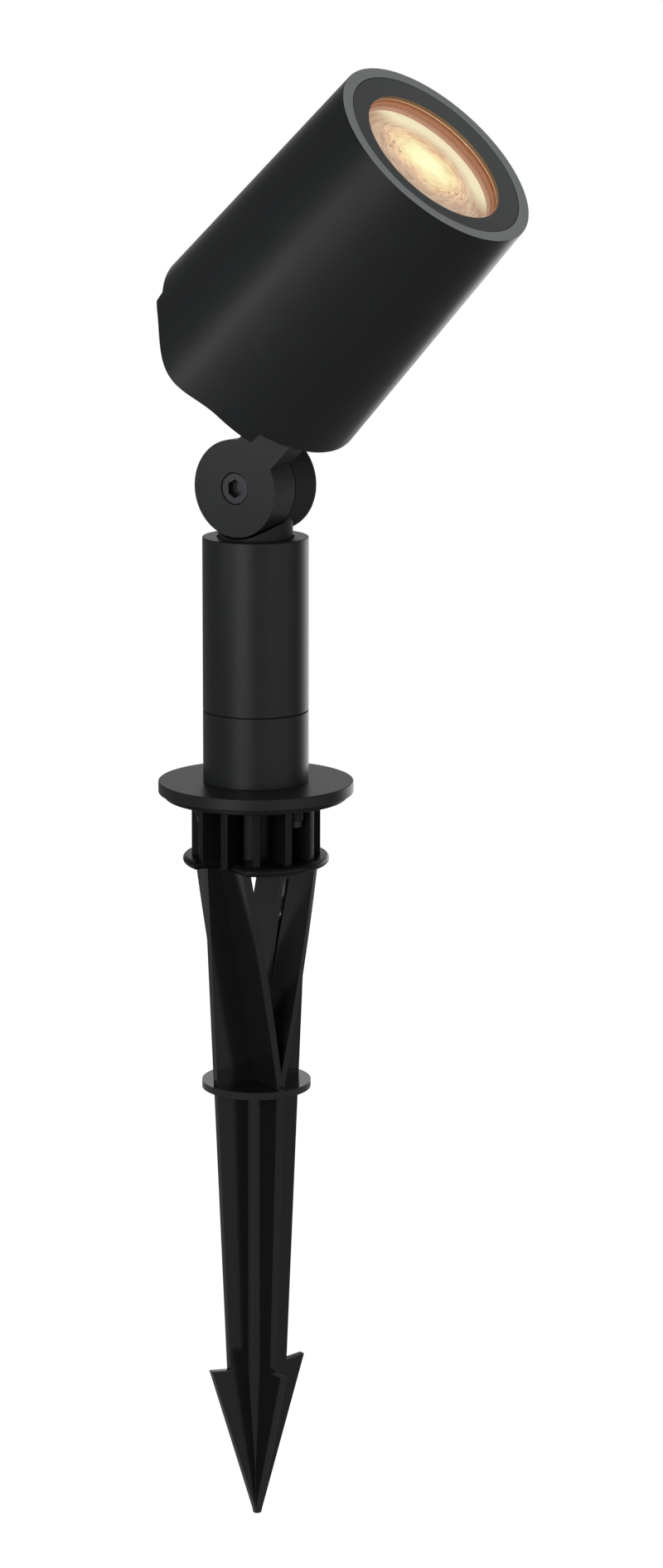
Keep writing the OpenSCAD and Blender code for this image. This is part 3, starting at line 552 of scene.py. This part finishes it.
tube_outline = rounded(
    [
        (groove_r, seam_z, 0),
        (groove_r, seam_z + groove_half, 0),
        (post_r, seam_z + groove_half, seam_round),
        (post_r, tube_high.z, coat_round),
        (recess_r, tube_high.z, seam_round),
        (recess_r, recess_z, 0),
        (bush_r, recess_z, 0),
        (bush_r, bush_z, 0),
        (hollow_r, bush_z, 0),
        (hollow_r, tube_low.z, 0),
        (spigot_r, tube_low.z, 0),
        (spigot_r, seam_z, 0),
    ]
)
tube = turned(tube_outline, powder_coat, POST)
show("post_tube_skin", tube, "base", ["post_tube"])

# %% [markdown]
# The collar is the post's lower half. It has a floor, with a hole for the cable gland,
# and the tube's thin spigot reaches down inside it.

# %% Post collar
floor_t = 3.0
gland_r = 5.6
collar_outline = rounded(
    [
        (post_r, collar_low.z, seam_round),
        (post_r, seam_z - groove_half, seam_round),
        (groove_r, seam_z - groove_half, 0),
        (groove_r, seam_z, 0),
        (spigot_r, seam_z, 0),
        (spigot_r, tube_low.z, 0),
        (hollow_r, tube_low.z, 0),
        (hollow_r, collar_low.z + floor_t, 0),
        (gland_r, collar_low.z + floor_t, 0),
        (gland_r, collar_low.z, 0),
    ]
)
collar = turned(collar_outline, powder_coat, POST)
show("post_collar_skin", collar, "base", ["post_collar"])

# %% [markdown]
# The flange is a plain turned disc under the collar. Its rim is thick enough to show
# a lit face of its own, with a round at each edge.

# %% Flange
flange_low, flange_high = span("flange_disc", POST)
flange_r = flange_high.x
flange_outline = rounded(
    [
        (flange_r, flange_low.z, coat_round),
        (flange_r, flange_high.z, coat_round),
        (gland_r, flange_high.z, 0),
        (gland_r, flange_low.z, 0),
    ]
)
flange = turned(flange_outline, powder_coat, POST, steps=220)
show("flange_skin", flange, "base", ["flange_disc"])

# %% [markdown]
# The head's shell is turned too, but its rear edge isn't: two cheeks reach back past
# the rear cap, with a soft swell in each. So the shell is a skin over rings of points,
# one ring for each place along the wall's outline, and the rear rings move back and
# forth with the angle.


# %% Skin over rings
def skin(rings, closed_loop=False):
    count = len(rings[0])
    points = [tuple(p) for ring in rings for p in ring]
    faces = []
    for k in range(len(rings) if closed_loop else len(rings) - 1):
        here = k * count
        there = (k + 1) % len(rings) * count
        faces += [
            (here + i, here + (i + 1) % count, there + (i + 1) % count, there + i)
            for i in range(count)
        ]
    if not closed_loop:
        faces.append(tuple(range(count)))
        faces.append(tuple(range(len(points) - count, len(points))))
    mesh = bpy.data.meshes.new("skin")
    mesh.from_pydata(points, [], faces)
    return mesh


# %% [markdown]
# Seen from the side, the rear edge runs straight at the top, steps out to the cheek's
# upper corner, swells, and steps back in at the lower corner. The function gives that
# edge for a height over the head's axis.

# %% Rear edge of the head
front_r = 30.0
bore_r = 26.75
cap_seat = 72.1
recess_wall_r = 30.4
shell_taper = 0.04225
shell_steps = 240
rear_wall = 2.9
rear_r = recess_wall_r + rear_wall
upper_len = 76.2
upper_lean = 0.6
lower_len = 80.0
cheek_top = 22.0
cheek_low = -24.0
cheek_top_len = 79.4
cheek_low_len = 83.5
cheek_swell = 3.8
swell_middle = 2.08
swell_reach = 17.02
top_step = 0.88
rim_round = 0.3
edge_round = 0.25
step_gap = radians(0.12)


def rear_edge(up):
    if up > cheek_top + top_step:
        share = (up - cheek_top - top_step) / (rear_r - cheek_top - top_step)
        return upper_len + upper_lean - 2 * upper_lean * share
    if up > cheek_top:
        rise = upper_len + upper_lean - cheek_top_len
        return cheek_top_len + rise * (up - cheek_top) / top_step
    if up < cheek_low:
        return lower_len
    line = cheek_low_len + (cheek_top_len - cheek_low_len) * (up - cheek_low) / (cheek_top - cheek_low)
    away = (up - swell_middle) / swell_reach
    return line + (cheek_swell * cos(pi / 2 * away) ** 2 if abs(away) < 1 else 0.0)


angles = [2 * pi * i / shell_steps for i in range(shell_steps)]
for side in (-1, 1):
    low_corner = side * acos(cheek_low / rear_r) % (2 * pi)
    angles += [low_corner - step_gap, low_corner + step_gap]
    for up in (cheek_top, cheek_top + top_step):
        angles.append(side * acos(up / rear_r) % (2 * pi))
angles.sort()
print("columns of the shell:", len(angles))

# %% [markdown]
# The wall's own outline is the same all round but for its length, so it is drawn once
# for each angle with that angle's length. The front edge's round and the flat beside it
# get the rim's painted highlight, a flat grey.


# %% Head shell
def wall_outline(rear):
    outer_rear = front_r + shell_taper * rear
    return rounded(
        [
            (bore_r, 0.0, rim_round),
            (front_r, 0.0, rim_round),
            (outer_rear, rear, edge_round),
            (recess_wall_r, rear, edge_round),
            (recess_wall_r, cap_seat, 0),
            (bore_r, cap_seat, 0),
        ],
        steps=4,
    )


columns = [wall_outline(rear_edge(rear_r * cos(a))) for a in angles]
shell_mesh = skin(
    [
        [(r * cos(a), r * sin(a), depth) for a, (r, depth) in zip(angles, ring)]
        for ring in zip(*columns)
    ],
    closed_loop=True,
)
print("shell open edges:", clean(shell_mesh, HEAD))
rim_share = 0.7
rim_margin = 0.1


# Faces of the front rim take the grey of the painted highlight.
def shell_finish(radius, depth):
    return 1 if depth < rim_round * rim_share and radius < front_r - rim_margin else 0


paint_faces(shell_mesh, HEAD, shell_finish)
show("head_shell_skin", shell_mesh, "head", ["head_shell"], [powder_coat, rim_highlight_coat])

# %% [markdown]
# The cover ring fills the front up to the window. It is dished by a millimetre, and
# behind its lip sits the glass. Three painted glows of the lamp's light show on it in the
# window: a dim bronze on the lip's inner edge, a painted highlight where the lit glass
# meets the lip, and a copper glow on the pocket behind.

# %% Cover ring
window_r = 21.0
ring_r = 26.65
ring_dish = 1.1
glass_front = 2.3
lamp_front = 5.3
pocket_r = 22.7
lip_round = 0.14
pocket_margin = 0.2
lip_margin = 0.05
ring_outline = rounded(
    [
        (window_r, ring_dish, lip_round),
        (ring_r, 0.0, rim_round),
        (ring_r, lamp_front, 0),
        (pocket_r, lamp_front, 0),
        (pocket_r, glass_front, 0),
        (window_r, glass_front, lip_round),
    ]
)
ring_mesh = turned(ring_outline, ring_highlight_paint, HEAD, steps=200)


# The ring's paint, then the painted lamp light: the lip's bronze glow, the pocket's copper glow and
# the lip edge's highlight.
def ring_finish(radius, depth):
    if radius > pocket_r + pocket_margin or depth < ring_dish + lip_round / 2:
        return 0
    if radius < window_r + lip_round and depth > glass_front - lip_round:
        return 3
    return 1 if radius < window_r + lip_margin else 2


ring_mesh.materials.clear()
for material in (ring_highlight_paint, lip_lamp_glow, lamp_glow_wall, lip_edge_highlight):
    ring_mesh.materials.append(material)
paint_faces(ring_mesh, HEAD, ring_finish)
show("cover_ring_skin", ring_mesh, "head", ["cover_ring"])

# %% [markdown]
# Some pieces are neither turned nor repeated: the knuckle's two halves, the cap at the
# head's back, and the slanted walls and barbed shaft of the spike. Their solids already
# have the right shape, so a copy is merged, its flat faces are joined, and every sharp
# edge gets a round.

# %% Rounded copies of solids
flat_within = radians(0.6)
edge_steps = 2


def softened(node, edge_mm):
    mesh = nodes[node].data.copy()
    mesh.materials.clear()
    shape = bmesh.new()
    shape.from_mesh(mesh)
    bmesh.ops.remove_doubles(shape, verts=shape.verts, dist=merge_mm * MM)
    bmesh.ops.dissolve_limit(
        shape,
        angle_limit=flat_within,
        use_dissolve_boundaries=False,
        verts=shape.verts,
        edges=shape.edges,
    )
    bmesh.ops.recalc_face_normals(shape, faces=shape.faces)
    shape.to_mesh(mesh)
    shape.free()
    thing = bpy.data.objects.new(node + "_copy", mesh)
    scene.collection.objects.link(thing)
    bevel = thing.modifiers.new("edges", "BEVEL")
    bevel.width = edge_mm * MM
    bevel.segments = edge_steps
    bevel.limit_method = "ANGLE"
    bevel.angle_limit = crisp_edge
    bevel.miter_outer = "MITER_ARC"
    bevel.use_clamp_overlap = True
    mesh = plain_mesh(thing)
    print(node, "open edges:", clean(mesh))
    return mesh


print("steps of a rounded edge:", edge_steps)

# %% [markdown]
# The knuckle is two discs face to face: the near one carries the head and the far one
# is part of the stem, whose coat is duller.

# %% Knuckle, stem and rear cap
for node, edge_mm, body, coat in (
    ("tilt_knuckle", 0.2, "head", powder_coat),
    ("stem_knuckle", 0.2, "stem", stem_coat),
    ("rear_cap", 0.25, "head", powder_coat),
):
    show(node + "_skin", softened(node, edge_mm), body, [node], [coat])

# %% [markdown]
# The spike is one moulding in ABS. A thin brim lies under the flange, a tube hangs in
# its middle, twelve ribs stand round the tube, and a ring with a rounded rim closes the
# barrel. Brim and tube are one turned outline.

# %% Dish and barrel tube
dish_r = 25.1
dish_h = 5.4
dish_wall = 2.4
brim_z = 4.4
brim_skin = 0.6
brim_round = 0.5
tube_round = 0.2
barrel_r = 17.65
tube_r = 8.75
tube_bore_r = 7.55
ring_top = -11.6
ring_bottom = -13.9
rib_t = 2.1
dish_outline = rounded(
    [
        (tube_bore_r, ring_bottom, 0),
        (tube_r, ring_bottom, tube_round),
        (tube_r, brim_z, 0),
        (dish_r, brim_z, brim_round),
        (dish_r, dish_h, 0),
        (dish_r - dish_wall, dish_h, 0),
        (dish_r - dish_wall, brim_z + brim_skin, 0),
        (tube_bore_r, brim_z + brim_skin, 0),
    ]
)
dish = turned(dish_outline, spike_plastic, SPIKE)
show("spike_dish_skin", dish, "base", ["spike_dish"])

# %% [markdown]
# Ribs, screws and other copies round an axis come from one tree: it takes the first
# copy, already at its place, and turns as many copies as are asked for.

# %% Tree that copies a piece round an axis
rounds = bpy.data.node_groups.new("copies_round_axis", "GeometryNodeTree")
inputs = (("Piece", "Geometry"), ("Count", "Int"), ("First turn", "Float"), ("Finish", "Material"))
for name, kind in inputs:
    rounds.interface.new_socket(name, in_out="INPUT", socket_type="NodeSocket" + kind)
rounds.interface.new_socket("Pieces", in_out="OUTPUT", socket_type="NodeSocketGeometry")
given = add(rounds, "NodeGroupInput").outputs
places = add(rounds, "GeometryNodePoints", {"Count": given["Count"]})
one_turn = math(rounds, "DIVIDE", 2 * pi, given["Count"])
number = add(rounds, "GeometryNodeInputIndex").outputs[0]
turn = math(rounds, "MULTIPLY_ADD", number, one_turn, given["First turn"])
about_z = add(rounds, "ShaderNodeCombineXYZ", {"Z": turn})
copies = add(
    rounds,
    "GeometryNodeInstanceOnPoints",
    {"Points": places.outputs[0], "Instance": given["Piece"], "Rotation": about_z.outputs[0]},
)
real = add(rounds, "GeometryNodeRealizeInstances", {"Geometry": copies.outputs[0]}).outputs[0]
painted = add(rounds, "GeometryNodeSetMaterial", {"Geometry": real, "Material": given["Finish"]})
add(rounds, "NodeGroupOutput", {"Pieces": painted.outputs[0]})


def copies_round(piece, count, first_turn, material, place):
    mesh = grow(rounds, piece, Count=count, Finish=material, **{"First turn": first_turn})
    print("copies:", count, "open edges:", clean(mesh, place))
    return mesh


print("nodes in the tree:", len(rounds.nodes))

# %% [markdown]
# One rib is a thin block with rounded edges. It starts inside the tube's wall and
# ends at the barrel's outside, and it runs from the brim into the ring.

# %% Barrel ribs
rib_count = 12
rib_overlap = 0.6
rib_round = 0.3
round_steps = 3


def block(low, high, edge):
    mesh = bpy.data.meshes.new("block")
    shape = bmesh.new()
    bmesh.ops.create_cube(shape, size=1.0)
    middle = (Vector(low) + Vector(high)) / 2
    size = Vector(high) - Vector(low)
    for point in shape.verts:
        point.co = Vector([middle[i] + point.co[i] * size[i] for i in range(3)])
    bmesh.ops.bevel(
        shape, geom=shape.edges, offset=edge, segments=round_steps, profile=0.5, affect="EDGES"
    )
    shape.to_mesh(mesh)
    shape.free()
    return mesh


rib = block(
    (tube_bore_r + rib_overlap, -rib_t / 2, (ring_top + ring_bottom) / 2),
    (barrel_r, rib_t / 2, brim_z + brim_skin / 2),
    rib_round,
)
ribs = copies_round(rib, rib_count, 0.0, spike_plastic, SPIKE)
show("spike_ribs_skin", ribs, "base", ["spike_dish"])

# %% [markdown]
# The ring's rim is fully rounded, and a flat cut takes off its front where the
# slanted wall starts. Its outline is a circle with that cut, drawn again and again
# while it shrinks into the rim's round, and joined to the hole in the middle.

# %% Outline of the ring
low_ring_r = 20.1
cut_y = -12.4
cut_x = 1.05
ring_rim = 1.05
rim_steps = 6
cut_right = sqrt(low_ring_r**2 - cut_y**2)
first = atan2(cut_y, cut_right)
last = 2 * pi + atan2(-low_ring_r, cut_x)
ring_steps = 150
ring_line = [
    Vector((low_ring_r * cos(a), low_ring_r * sin(a)))
    for a in (first + (last - first) * i / ring_steps for i in range(ring_steps + 1))
]
cut_steps = 12
notch_steps = 4
ring_line += [
    Vector((cut_x, cut_y - (low_ring_r + cut_y) * (1 - i / notch_steps)))
    for i in range(1, notch_steps)
]
ring_line += [Vector((cut_x + (cut_right - cut_x) * i / cut_steps, cut_y)) for i in range(cut_steps)]


def shrunk(line, by):
    result = []
    for before, here, after in zip(line[-1:] + line[:-1], line, line[1:] + line[:1]):
        along = ((here - before).normalized() + (after - here).normalized()).normalized()
        result.append(here + Vector((-along.y, along.x)) * by)
    return result


print("points of the ring's outline:", len(ring_line))

# %% [markdown]
# The copies of that outline are stacked like the layers of a shell: each lies a little
# higher than the last one and is shrunk by what the round takes off at that height.

# %% Barrel ring
middle_z = (ring_top + ring_bottom) / 2
half_t = (ring_top - ring_bottom) / 2
rings = [[p.normalized() * tube_bore_r for p in ring_line]]
heights = [middle_z - half_t]
for i in range(2 * rim_steps + 1):
    a = -pi / 2 + pi * i / (2 * rim_steps)
    rings.append(shrunk(ring_line, ring_rim * (1 - cos(a))))
    heights.append(middle_z + half_t * sin(a))
rings.append(rings[0])
heights.append(middle_z + half_t)
ring_skin = skin([[(p.x, p.y, z) for p in ring] for ring, z in zip(rings, heights)], closed_loop=True)
print("barrel ring open edges:", clean(ring_skin, SPIKE))
show("spike_ring_skin", ring_skin, "base", ["spike_dish"], [spike_plastic])

# %% [markdown]
# Below the ring the moulding goes on as slanted walls, a lower disc, four thin fins and
# a barbed point. Their solids have the right shape, so copies with rounded edges will
# do, in the plastic that came off polished faces.

# %% Cage and shaft
for node, edge_mm in (("spike_cage", 0.15), ("spike_shaft", 0.25)):
    show(node + "_skin", softened(node, edge_mm), "base", [node], [polished_abs])

# %% [markdown]
# A socket screw is a stack of rings as well: the hexagon's corners are spread over as
# many points as the round parts have, so that one skin covers socket, head and shank.

# %% Socket screws
screw_points = 36
centre_share = 0.05
edge_share = 0.3


def hexagon(radius, a):
    return radius * cos(pi / 6) / cos((a + pi / 6) % (pi / 3) - pi / 6)


def socket_screw(thread_r, head_r, head_h, length, socket_r, socket_depth, edge):
    turns = [2 * pi * i / screw_points for i in range(screw_points)]
    stages = [
        (socket_r * centre_share, socket_depth, True),
        (socket_r, socket_depth, True),
        (socket_r, edge, True),
        (socket_r + edge, 0.0, True),
        (head_r - edge, 0.0, False),
        (head_r - edge * edge_share, edge * edge_share, False),
        (head_r, edge, False),
        (head_r, head_h, False),
        (thread_r, head_h, False),
        (thread_r, head_h + length - edge, False),
        (thread_r - edge, head_h + length, False),
    ]
    rings = []
    for radius, depth, is_hexagon in stages:
        reach = [hexagon(radius, a) if is_hexagon else radius for a in turns]
        rings.append([(r * cos(a), r * sin(a), depth) for r, a in zip(reach, turns)])
    return skin(rings)


print("points round a screw:", screw_points)

# %% [markdown]
# The knuckle's screw is the one that shows: its head is sunk in the near disc, a hair
# below the face, with a thin dark gap round it.

# %% Knuckle screw
pivot_low, pivot_high = span("knuckle_screw", POST)
pivot_z = (pivot_low.z + pivot_high.z) / 2
pivot_head_r = (pivot_high.z - pivot_low.z) / 2
pivot_place = Matrix.Translation((0.0, pivot_low.y, pivot_z))
KNUCKLE = POST @ pivot_place @ Matrix.Rotation(-pi / 2, 4, "X")
pivot_head_h = 2.8
pivot_screw = socket_screw(
    thread_r=2.5,
    head_r=pivot_head_r,
    head_h=pivot_head_h,
    length=pivot_high.y - pivot_low.y - pivot_head_h,
    socket_r=2.45,
    socket_depth=2.1,
    edge=0.15,
)
print("knuckle screw open edges:", clean(pivot_screw, KNUCKLE))
show("knuckle_screw_skin", pivot_screw, "stem", ["knuckle_screw"], [black_steel])

# %% [markdown]
# The cap's four screws, the foot plate's two and the spike's three are copies of one
# small screw each, set round an axis by the same tree as the ribs. A screw's head and
# socket grow with its thread, and out is its distance from that axis.


# %% Small screws
def small_screw(thread_r, length, out):
    head_h = thread_r * 1.4
    mesh = socket_screw(
        thread_r=thread_r,
        head_r=thread_r * 1.8,
        head_h=head_h,
        length=length,
        socket_r=thread_r * 0.9,
        socket_depth=thread_r * 0.84,
        edge=thread_r * 0.12,
    )
    mesh.transform(Matrix.Translation((out, 0.0, -head_h)))
    return mesh


def facing_back(depth):
    return Matrix.Translation((0.0, 0.0, depth)) @ Matrix.Rotation(pi, 4, "X")


cap_face = 75.6
foot_plate_t = 3.0
foot_face = cap_face + foot_plate_t
foot_up = -19.9
foot_side = -5.4
cap_screw = small_screw(thread_r=1.0, length=8.0, out=28.525)
cap_place = HEAD @ facing_back(cap_face)
cap_screws = copies_round(
    cap_screw, count=4, first_turn=pi / 4, material=black_steel, place=cap_place
)
show("cap_screws_skin", cap_screws, "head", ["cap_screws"])
foot_screw = small_screw(thread_r=1.5, length=6.5, out=7.45)
foot_place = HEAD @ Matrix.Translation((foot_up, foot_side, 0.0)) @ facing_back(foot_face)
foot_screws = copies_round(
    foot_screw, count=2, first_turn=pi / 2, material=black_steel, place=foot_place
)
show("foot_screws_skin", foot_screws, "head", ["foot_screws"])

# %% [markdown]
# The spike's three screws hold it to the flange. They go through bosses, short tubes
# moulded under its brim. The last lines compare each screw's box with its solid's.

# %% Bosses and screws of the spike
soil_z = 0.0
boss_r = 2.6
boss_bore_r = 1.3
boss_round = 0.2
spike_screw_out = 14.5
spike_screw_count = 3
spike_screw_turn = pi / 12
boss_outline = rounded(
    [
        (boss_bore_r, soil_z, 0),
        (boss_r, soil_z, boss_round),
        (boss_r, brim_z + brim_skin / 2, 0),
        (boss_bore_r, brim_z + brim_skin / 2, 0),
    ],
    steps=3,
)
boss_place = Matrix.Translation((spike_screw_out, 0.0, 0.0))
boss = turned(boss_outline, spike_plastic, boss_place, steps=32)
bosses = copies_round(boss, spike_screw_count, spike_screw_turn, spike_plastic, SPIKE)
show("spike_bosses_skin", bosses, "base", ["spike_dish"])
spike_screw = small_screw(thread_r=1.25, length=8.3, out=spike_screw_out)
spike_screws = copies_round(spike_screw, spike_screw_count, spike_screw_turn, black_steel, SPIKE)
show("spike_screws_skin", spike_screws, "base", ["spike_screws"])
for node in ("cap_screws", "foot_screws", "spike_screws", "knuckle_screw"):
    low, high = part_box(node)
    points = [v.co for v in bpy.data.objects[node + "_skin"].data.vertices]
    print(
        node,
        [round((low[i] - min(p[i] for p in points)) / MM, 2) for i in range(3)],
        [round((high[i] - max(p[i] for p in points)) / MM, 2) for i in range(3)],
    )

# %% [markdown]
# The lamp's front is pressed glass, lit from behind. The light isn't even: it is nearly
# white over the chips, tan round them and cream again along the far edge, with faint
# swirls from the pressing and a few dark marks where a chip's edge shows through. All
# of that is drawn in millimetres on the lens, in a frame turned the way the glow runs.
# First come that frame and a slow drift that bends the glow.

# %% Frame of the lens
lens_turn = radians(68.83)
LENS = HEAD @ Matrix.Rotation(lens_turn, 4, "Z")
drift_per_mm = 0.16
drift_mm = 7.0


def ramp(tree, value, low, high):
    limits = {"Value": value, "From Min": low, "From Max": high}
    return add(tree, "ShaderNodeMapRange", limits, interpolation_type="SMOOTHSTEP").outputs[0]


lens_lit, tree = empty_material("lit_pressed_glass")
place = add(
    tree,
    "ShaderNodeMapping",
    {
        "Vector": add(tree, "ShaderNodeTexCoord").outputs["Object"],
        "Location": LENS.translation,
        "Rotation": LENS.to_euler(),
        "Scale": (MM, MM, MM),
    },
    vector_type="TEXTURE",
)
on_face = vector(tree, "MULTIPLY", place.outputs[0], (1, 1, 0))[0]
drift = add(tree, "ShaderNodeTexNoise", {"Vector": on_face, "Scale": drift_per_mm, "Detail": 2.0})
offset = vector(tree, "SUBTRACT", drift.outputs["Color"], (0.5, 0.5, 0.5))[0]
pushed = vector(tree, "MULTIPLY_ADD", offset, (drift_mm, drift_mm, 0.0), on_face)[0]
print("lens turned by", round(lens_turn, 3), "rad")

# %% [markdown]
# The glow fades from its middle in rings that are longer than they are wide. So the
# distance is measured with a reach of its own for each direction, and a colour ramp
# turns it into tones.

# %% Glow
glow_middle = Vector((2.5, -0.5, 0.0))
glow_reach = Vector((9.0, 12.0, 1.0))
glow_tones = [
    (0.0, "#fffdc8"),
    (0.25, "#fefab4"),
    (0.44, "#fae49c"),
    (0.62, "#f0c48c"),
    (0.82, "#cba57c"),
    (1.0, "#b8966f"),
]
glow_end = 1.6
from_glow = vector(tree, "SUBTRACT", pushed, glow_middle)[0]
in_reach = vector(tree, "DIVIDE", from_glow, glow_reach)[0]
fade = vector(tree, "LENGTH", in_reach)["Value"]
tones = add(tree, "ShaderNodeValToRGB", {"Fac": math(tree, "DIVIDE", fade, glow_end)})
while len(tones.color_ramp.elements) < len(glow_tones):
    tones.color_ramp.elements.new(0.5)
for stop, (position, colour) in zip(tones.color_ramp.elements, glow_tones):
    stop.position = position
    stop.color = linear(colour)
print("glow tones:", len(glow_tones))

# %% [markdown]
# The swirls run round the lens, so their noise is read by radius and angle instead of
# across and along. They show only outside the brightest part. The cream far edge is
# where both the radius and the distance across are large.

# %% Swirls and far edge
swirls_out = 1.1
swirls_round = 2.4
swirl_band = (0.42, 0.6)
swirl_reach = (0.35, 1.1)
swirl_strength = 0.8
far_edge_out = (11.0, 17.5)
far_edge_across = (2.0, 12.0)
far_edge_strength = 0.85
axes = add(tree, "ShaderNodeSeparateXYZ", {"Vector": on_face})
across = axes.outputs["X"]
along = axes.outputs["Y"]
out = vector(tree, "LENGTH", on_face)["Value"]
outside = ramp(tree, out, *far_edge_out)
far_edge = math(tree, "MULTIPLY", outside, ramp(tree, across, *far_edge_across))
about = math(tree, "MULTIPLY", math(tree, "ARCTAN2", along, across), swirls_round)
path = add(tree, "ShaderNodeCombineXYZ", {"X": math(tree, "MULTIPLY", out, swirls_out), "Y": about})
swirl = add(
    tree,
    "ShaderNodeTexNoise",
    {"Vector": path.outputs[0], "Scale": 1.0, "Detail": 5.0, "Roughness": 0.65, "Distortion": 0.7},
)
streaks = ramp(tree, swirl.outputs["Fac"], *swirl_band)
streaks = math(tree, "MULTIPLY", streaks, ramp(tree, fade, *swirl_reach))
streaks = math(tree, "MULTIPLY", streaks, swirl_strength)
tones_now = tint(tree, streaks, tones.outputs["Color"], linear("#d2b496"), "MULTIPLY")
cream = math(tree, "MULTIPLY", far_edge, far_edge_strength)
tones_now = tint(tree, cream, tones_now, linear("#fdf4c6"))
print("nodes so far:", len(tree.nodes))

# %% [markdown]
# The dark marks are small soft dots at measured places. All the tones then go into the
# light that the glass gives, over a nearly black base with a smooth, faintly rippled
# face that still mirrors the room.

# %% Marks and glass
chip_marks = [(0.6, 12.5), (0.6, 10.6), (-1.9, 8.9), (-3.2, -7.5), (-1.4, -10.3), (-4.4, -10.3)]
mark_r = 0.6
mark_core = 0.4
mark_strength = 0.85
ripple_mm = 0.05
marks = 0.0
for middle in chip_marks:
    step = vector(tree, "SUBTRACT", on_face, middle + (0,))[0]
    gap = vector(tree, "LENGTH", step)["Value"]
    mark = math(tree, "SUBTRACT", 1.0, ramp(tree, gap, mark_r * mark_core, mark_r))
    marks = math(tree, "MAXIMUM", mark, marks)
dark = math(tree, "MULTIPLY", marks, mark_strength)
tones_now = tint(tree, dark, tones_now, linear("#6a4a28"))
ripple = add(
    tree,
    "ShaderNodeBump",
    {"Height": swirl.outputs["Fac"], "Distance": ripple_mm * MM, "Strength": 0.5},
)
surface(
    tree,
    {
        "Base Color": linear("#100c08"),
        "Roughness": 0.2,
        "Normal": ripple.outputs[0],
        "Emission Color": tones_now,
        "Emission Strength": 1.0,
    },
)
print("marks on the lens:", len(chip_marks))

# %% [markdown]
# The lens itself is a turned piece: a shallow dome, sunk in the lamp's own rim. The rim
# takes the painted copper glow of the lamp's light, so the glowing band behind the window
# widens by its width.

# %% Lamp lens
lens_r = 23.0
lens_t = 2.4
bezel_r = 20.4
lens_sink = 1.6
lens_crown = 0.8
lens_edge = 0.15
dome_steps = 12
rim_gap = 0.05
back_gap = 0.1
dome = [
    (bezel_r * i / dome_steps, lamp_front + lens_sink - lens_crown * (1 - (i / dome_steps) ** 2))
    for i in range(dome_steps + 1)
]
lens_outline = dome + [
    (bezel_r, lamp_front + lens_edge),
    (bezel_r + lens_edge, lamp_front),
    (lens_r, lamp_front),
    (lens_r, lamp_front + lens_t),
    (0.0, lamp_front + lens_t),
]
lens_mesh = turned([Vector(p) for p in lens_outline], lens_lit, HEAD, steps=96, closed=False)
lens_mesh.materials.append(lamp_glow_wall)


def lens_finish(radius, depth):
    return 0 if radius < bezel_r - rim_gap and depth < lamp_front + lens_t - back_gap else 1


paint_faces(lens_mesh, HEAD, lens_finish)
show("lamp_lens_skin", lens_mesh, "head", ["lamp_lens"])

# %% [markdown]
# The window is a disc of float glass, clear and smooth on both sides. Its only pattern
# is a faint haze a few millimetres wide, left by wiping, which drifts the roughness.

# %% Window glass
haze_mm = 5.0
smoothest = 0.015
roughest = 0.025
clear_glass, tree = empty_material("clear_float_glass")
place = add(tree, "ShaderNodeTexCoord").outputs["Object"]
haze = noise(tree, place, haze_mm, detail=3.0)
surface(
    tree,
    {
        "Base Color": linear("#ffffff"),
        "Roughness": between(tree, haze, smoothest, roughest),
        "Transmission Weight": 1.0,
        "IOR": 1.45,
    },
)
print("glass haze:", haze_mm, "mm")

# %% [markdown]
# The other pieces already have their right shape as solids: glass, seals, wires, nuts
# and the parts of the lamp inside. They stay, and each takes the finish of its real
# material in place of the plain colour of its slot.

# %% Finishes of the nodes that stay
kept = (
    (clear_glass, ["front_glass"]),
    # The gasket takes the painted copper glow of the lamp's light, like the pocket wall.
    (lamp_glow_wall, ["glass_gasket"]),
    (lamp_glass, ["lamp_body"]),
    (steatite, ["lamp_holder"]),
    (plated_steel, ["lamp_pins", "holder_bracket", "holder_screws"]),
    (plated_steel, ["stem_retainer", "stem_nut", "flange_screws"]),
    (seal_rubber, ["cap_seal", "friction_washer", "base_gasket"]),
    (wire_sheath, ["lamp_wires", "stem_wires"]),
    (acetal, ["swivel_bush"]),
    (gland_nylon, ["cable_gland", "gland_nut"]),
    (lead_sheath, ["inner_lead"]),
    (terminal_nylon, ["terminal_block"]),
)
for material, names in kept:
    for node in names:
        for place in nodes[node].material_slots:
            place.material = material
print("nodes that stay:", sum(len(names) for material, names in kept))
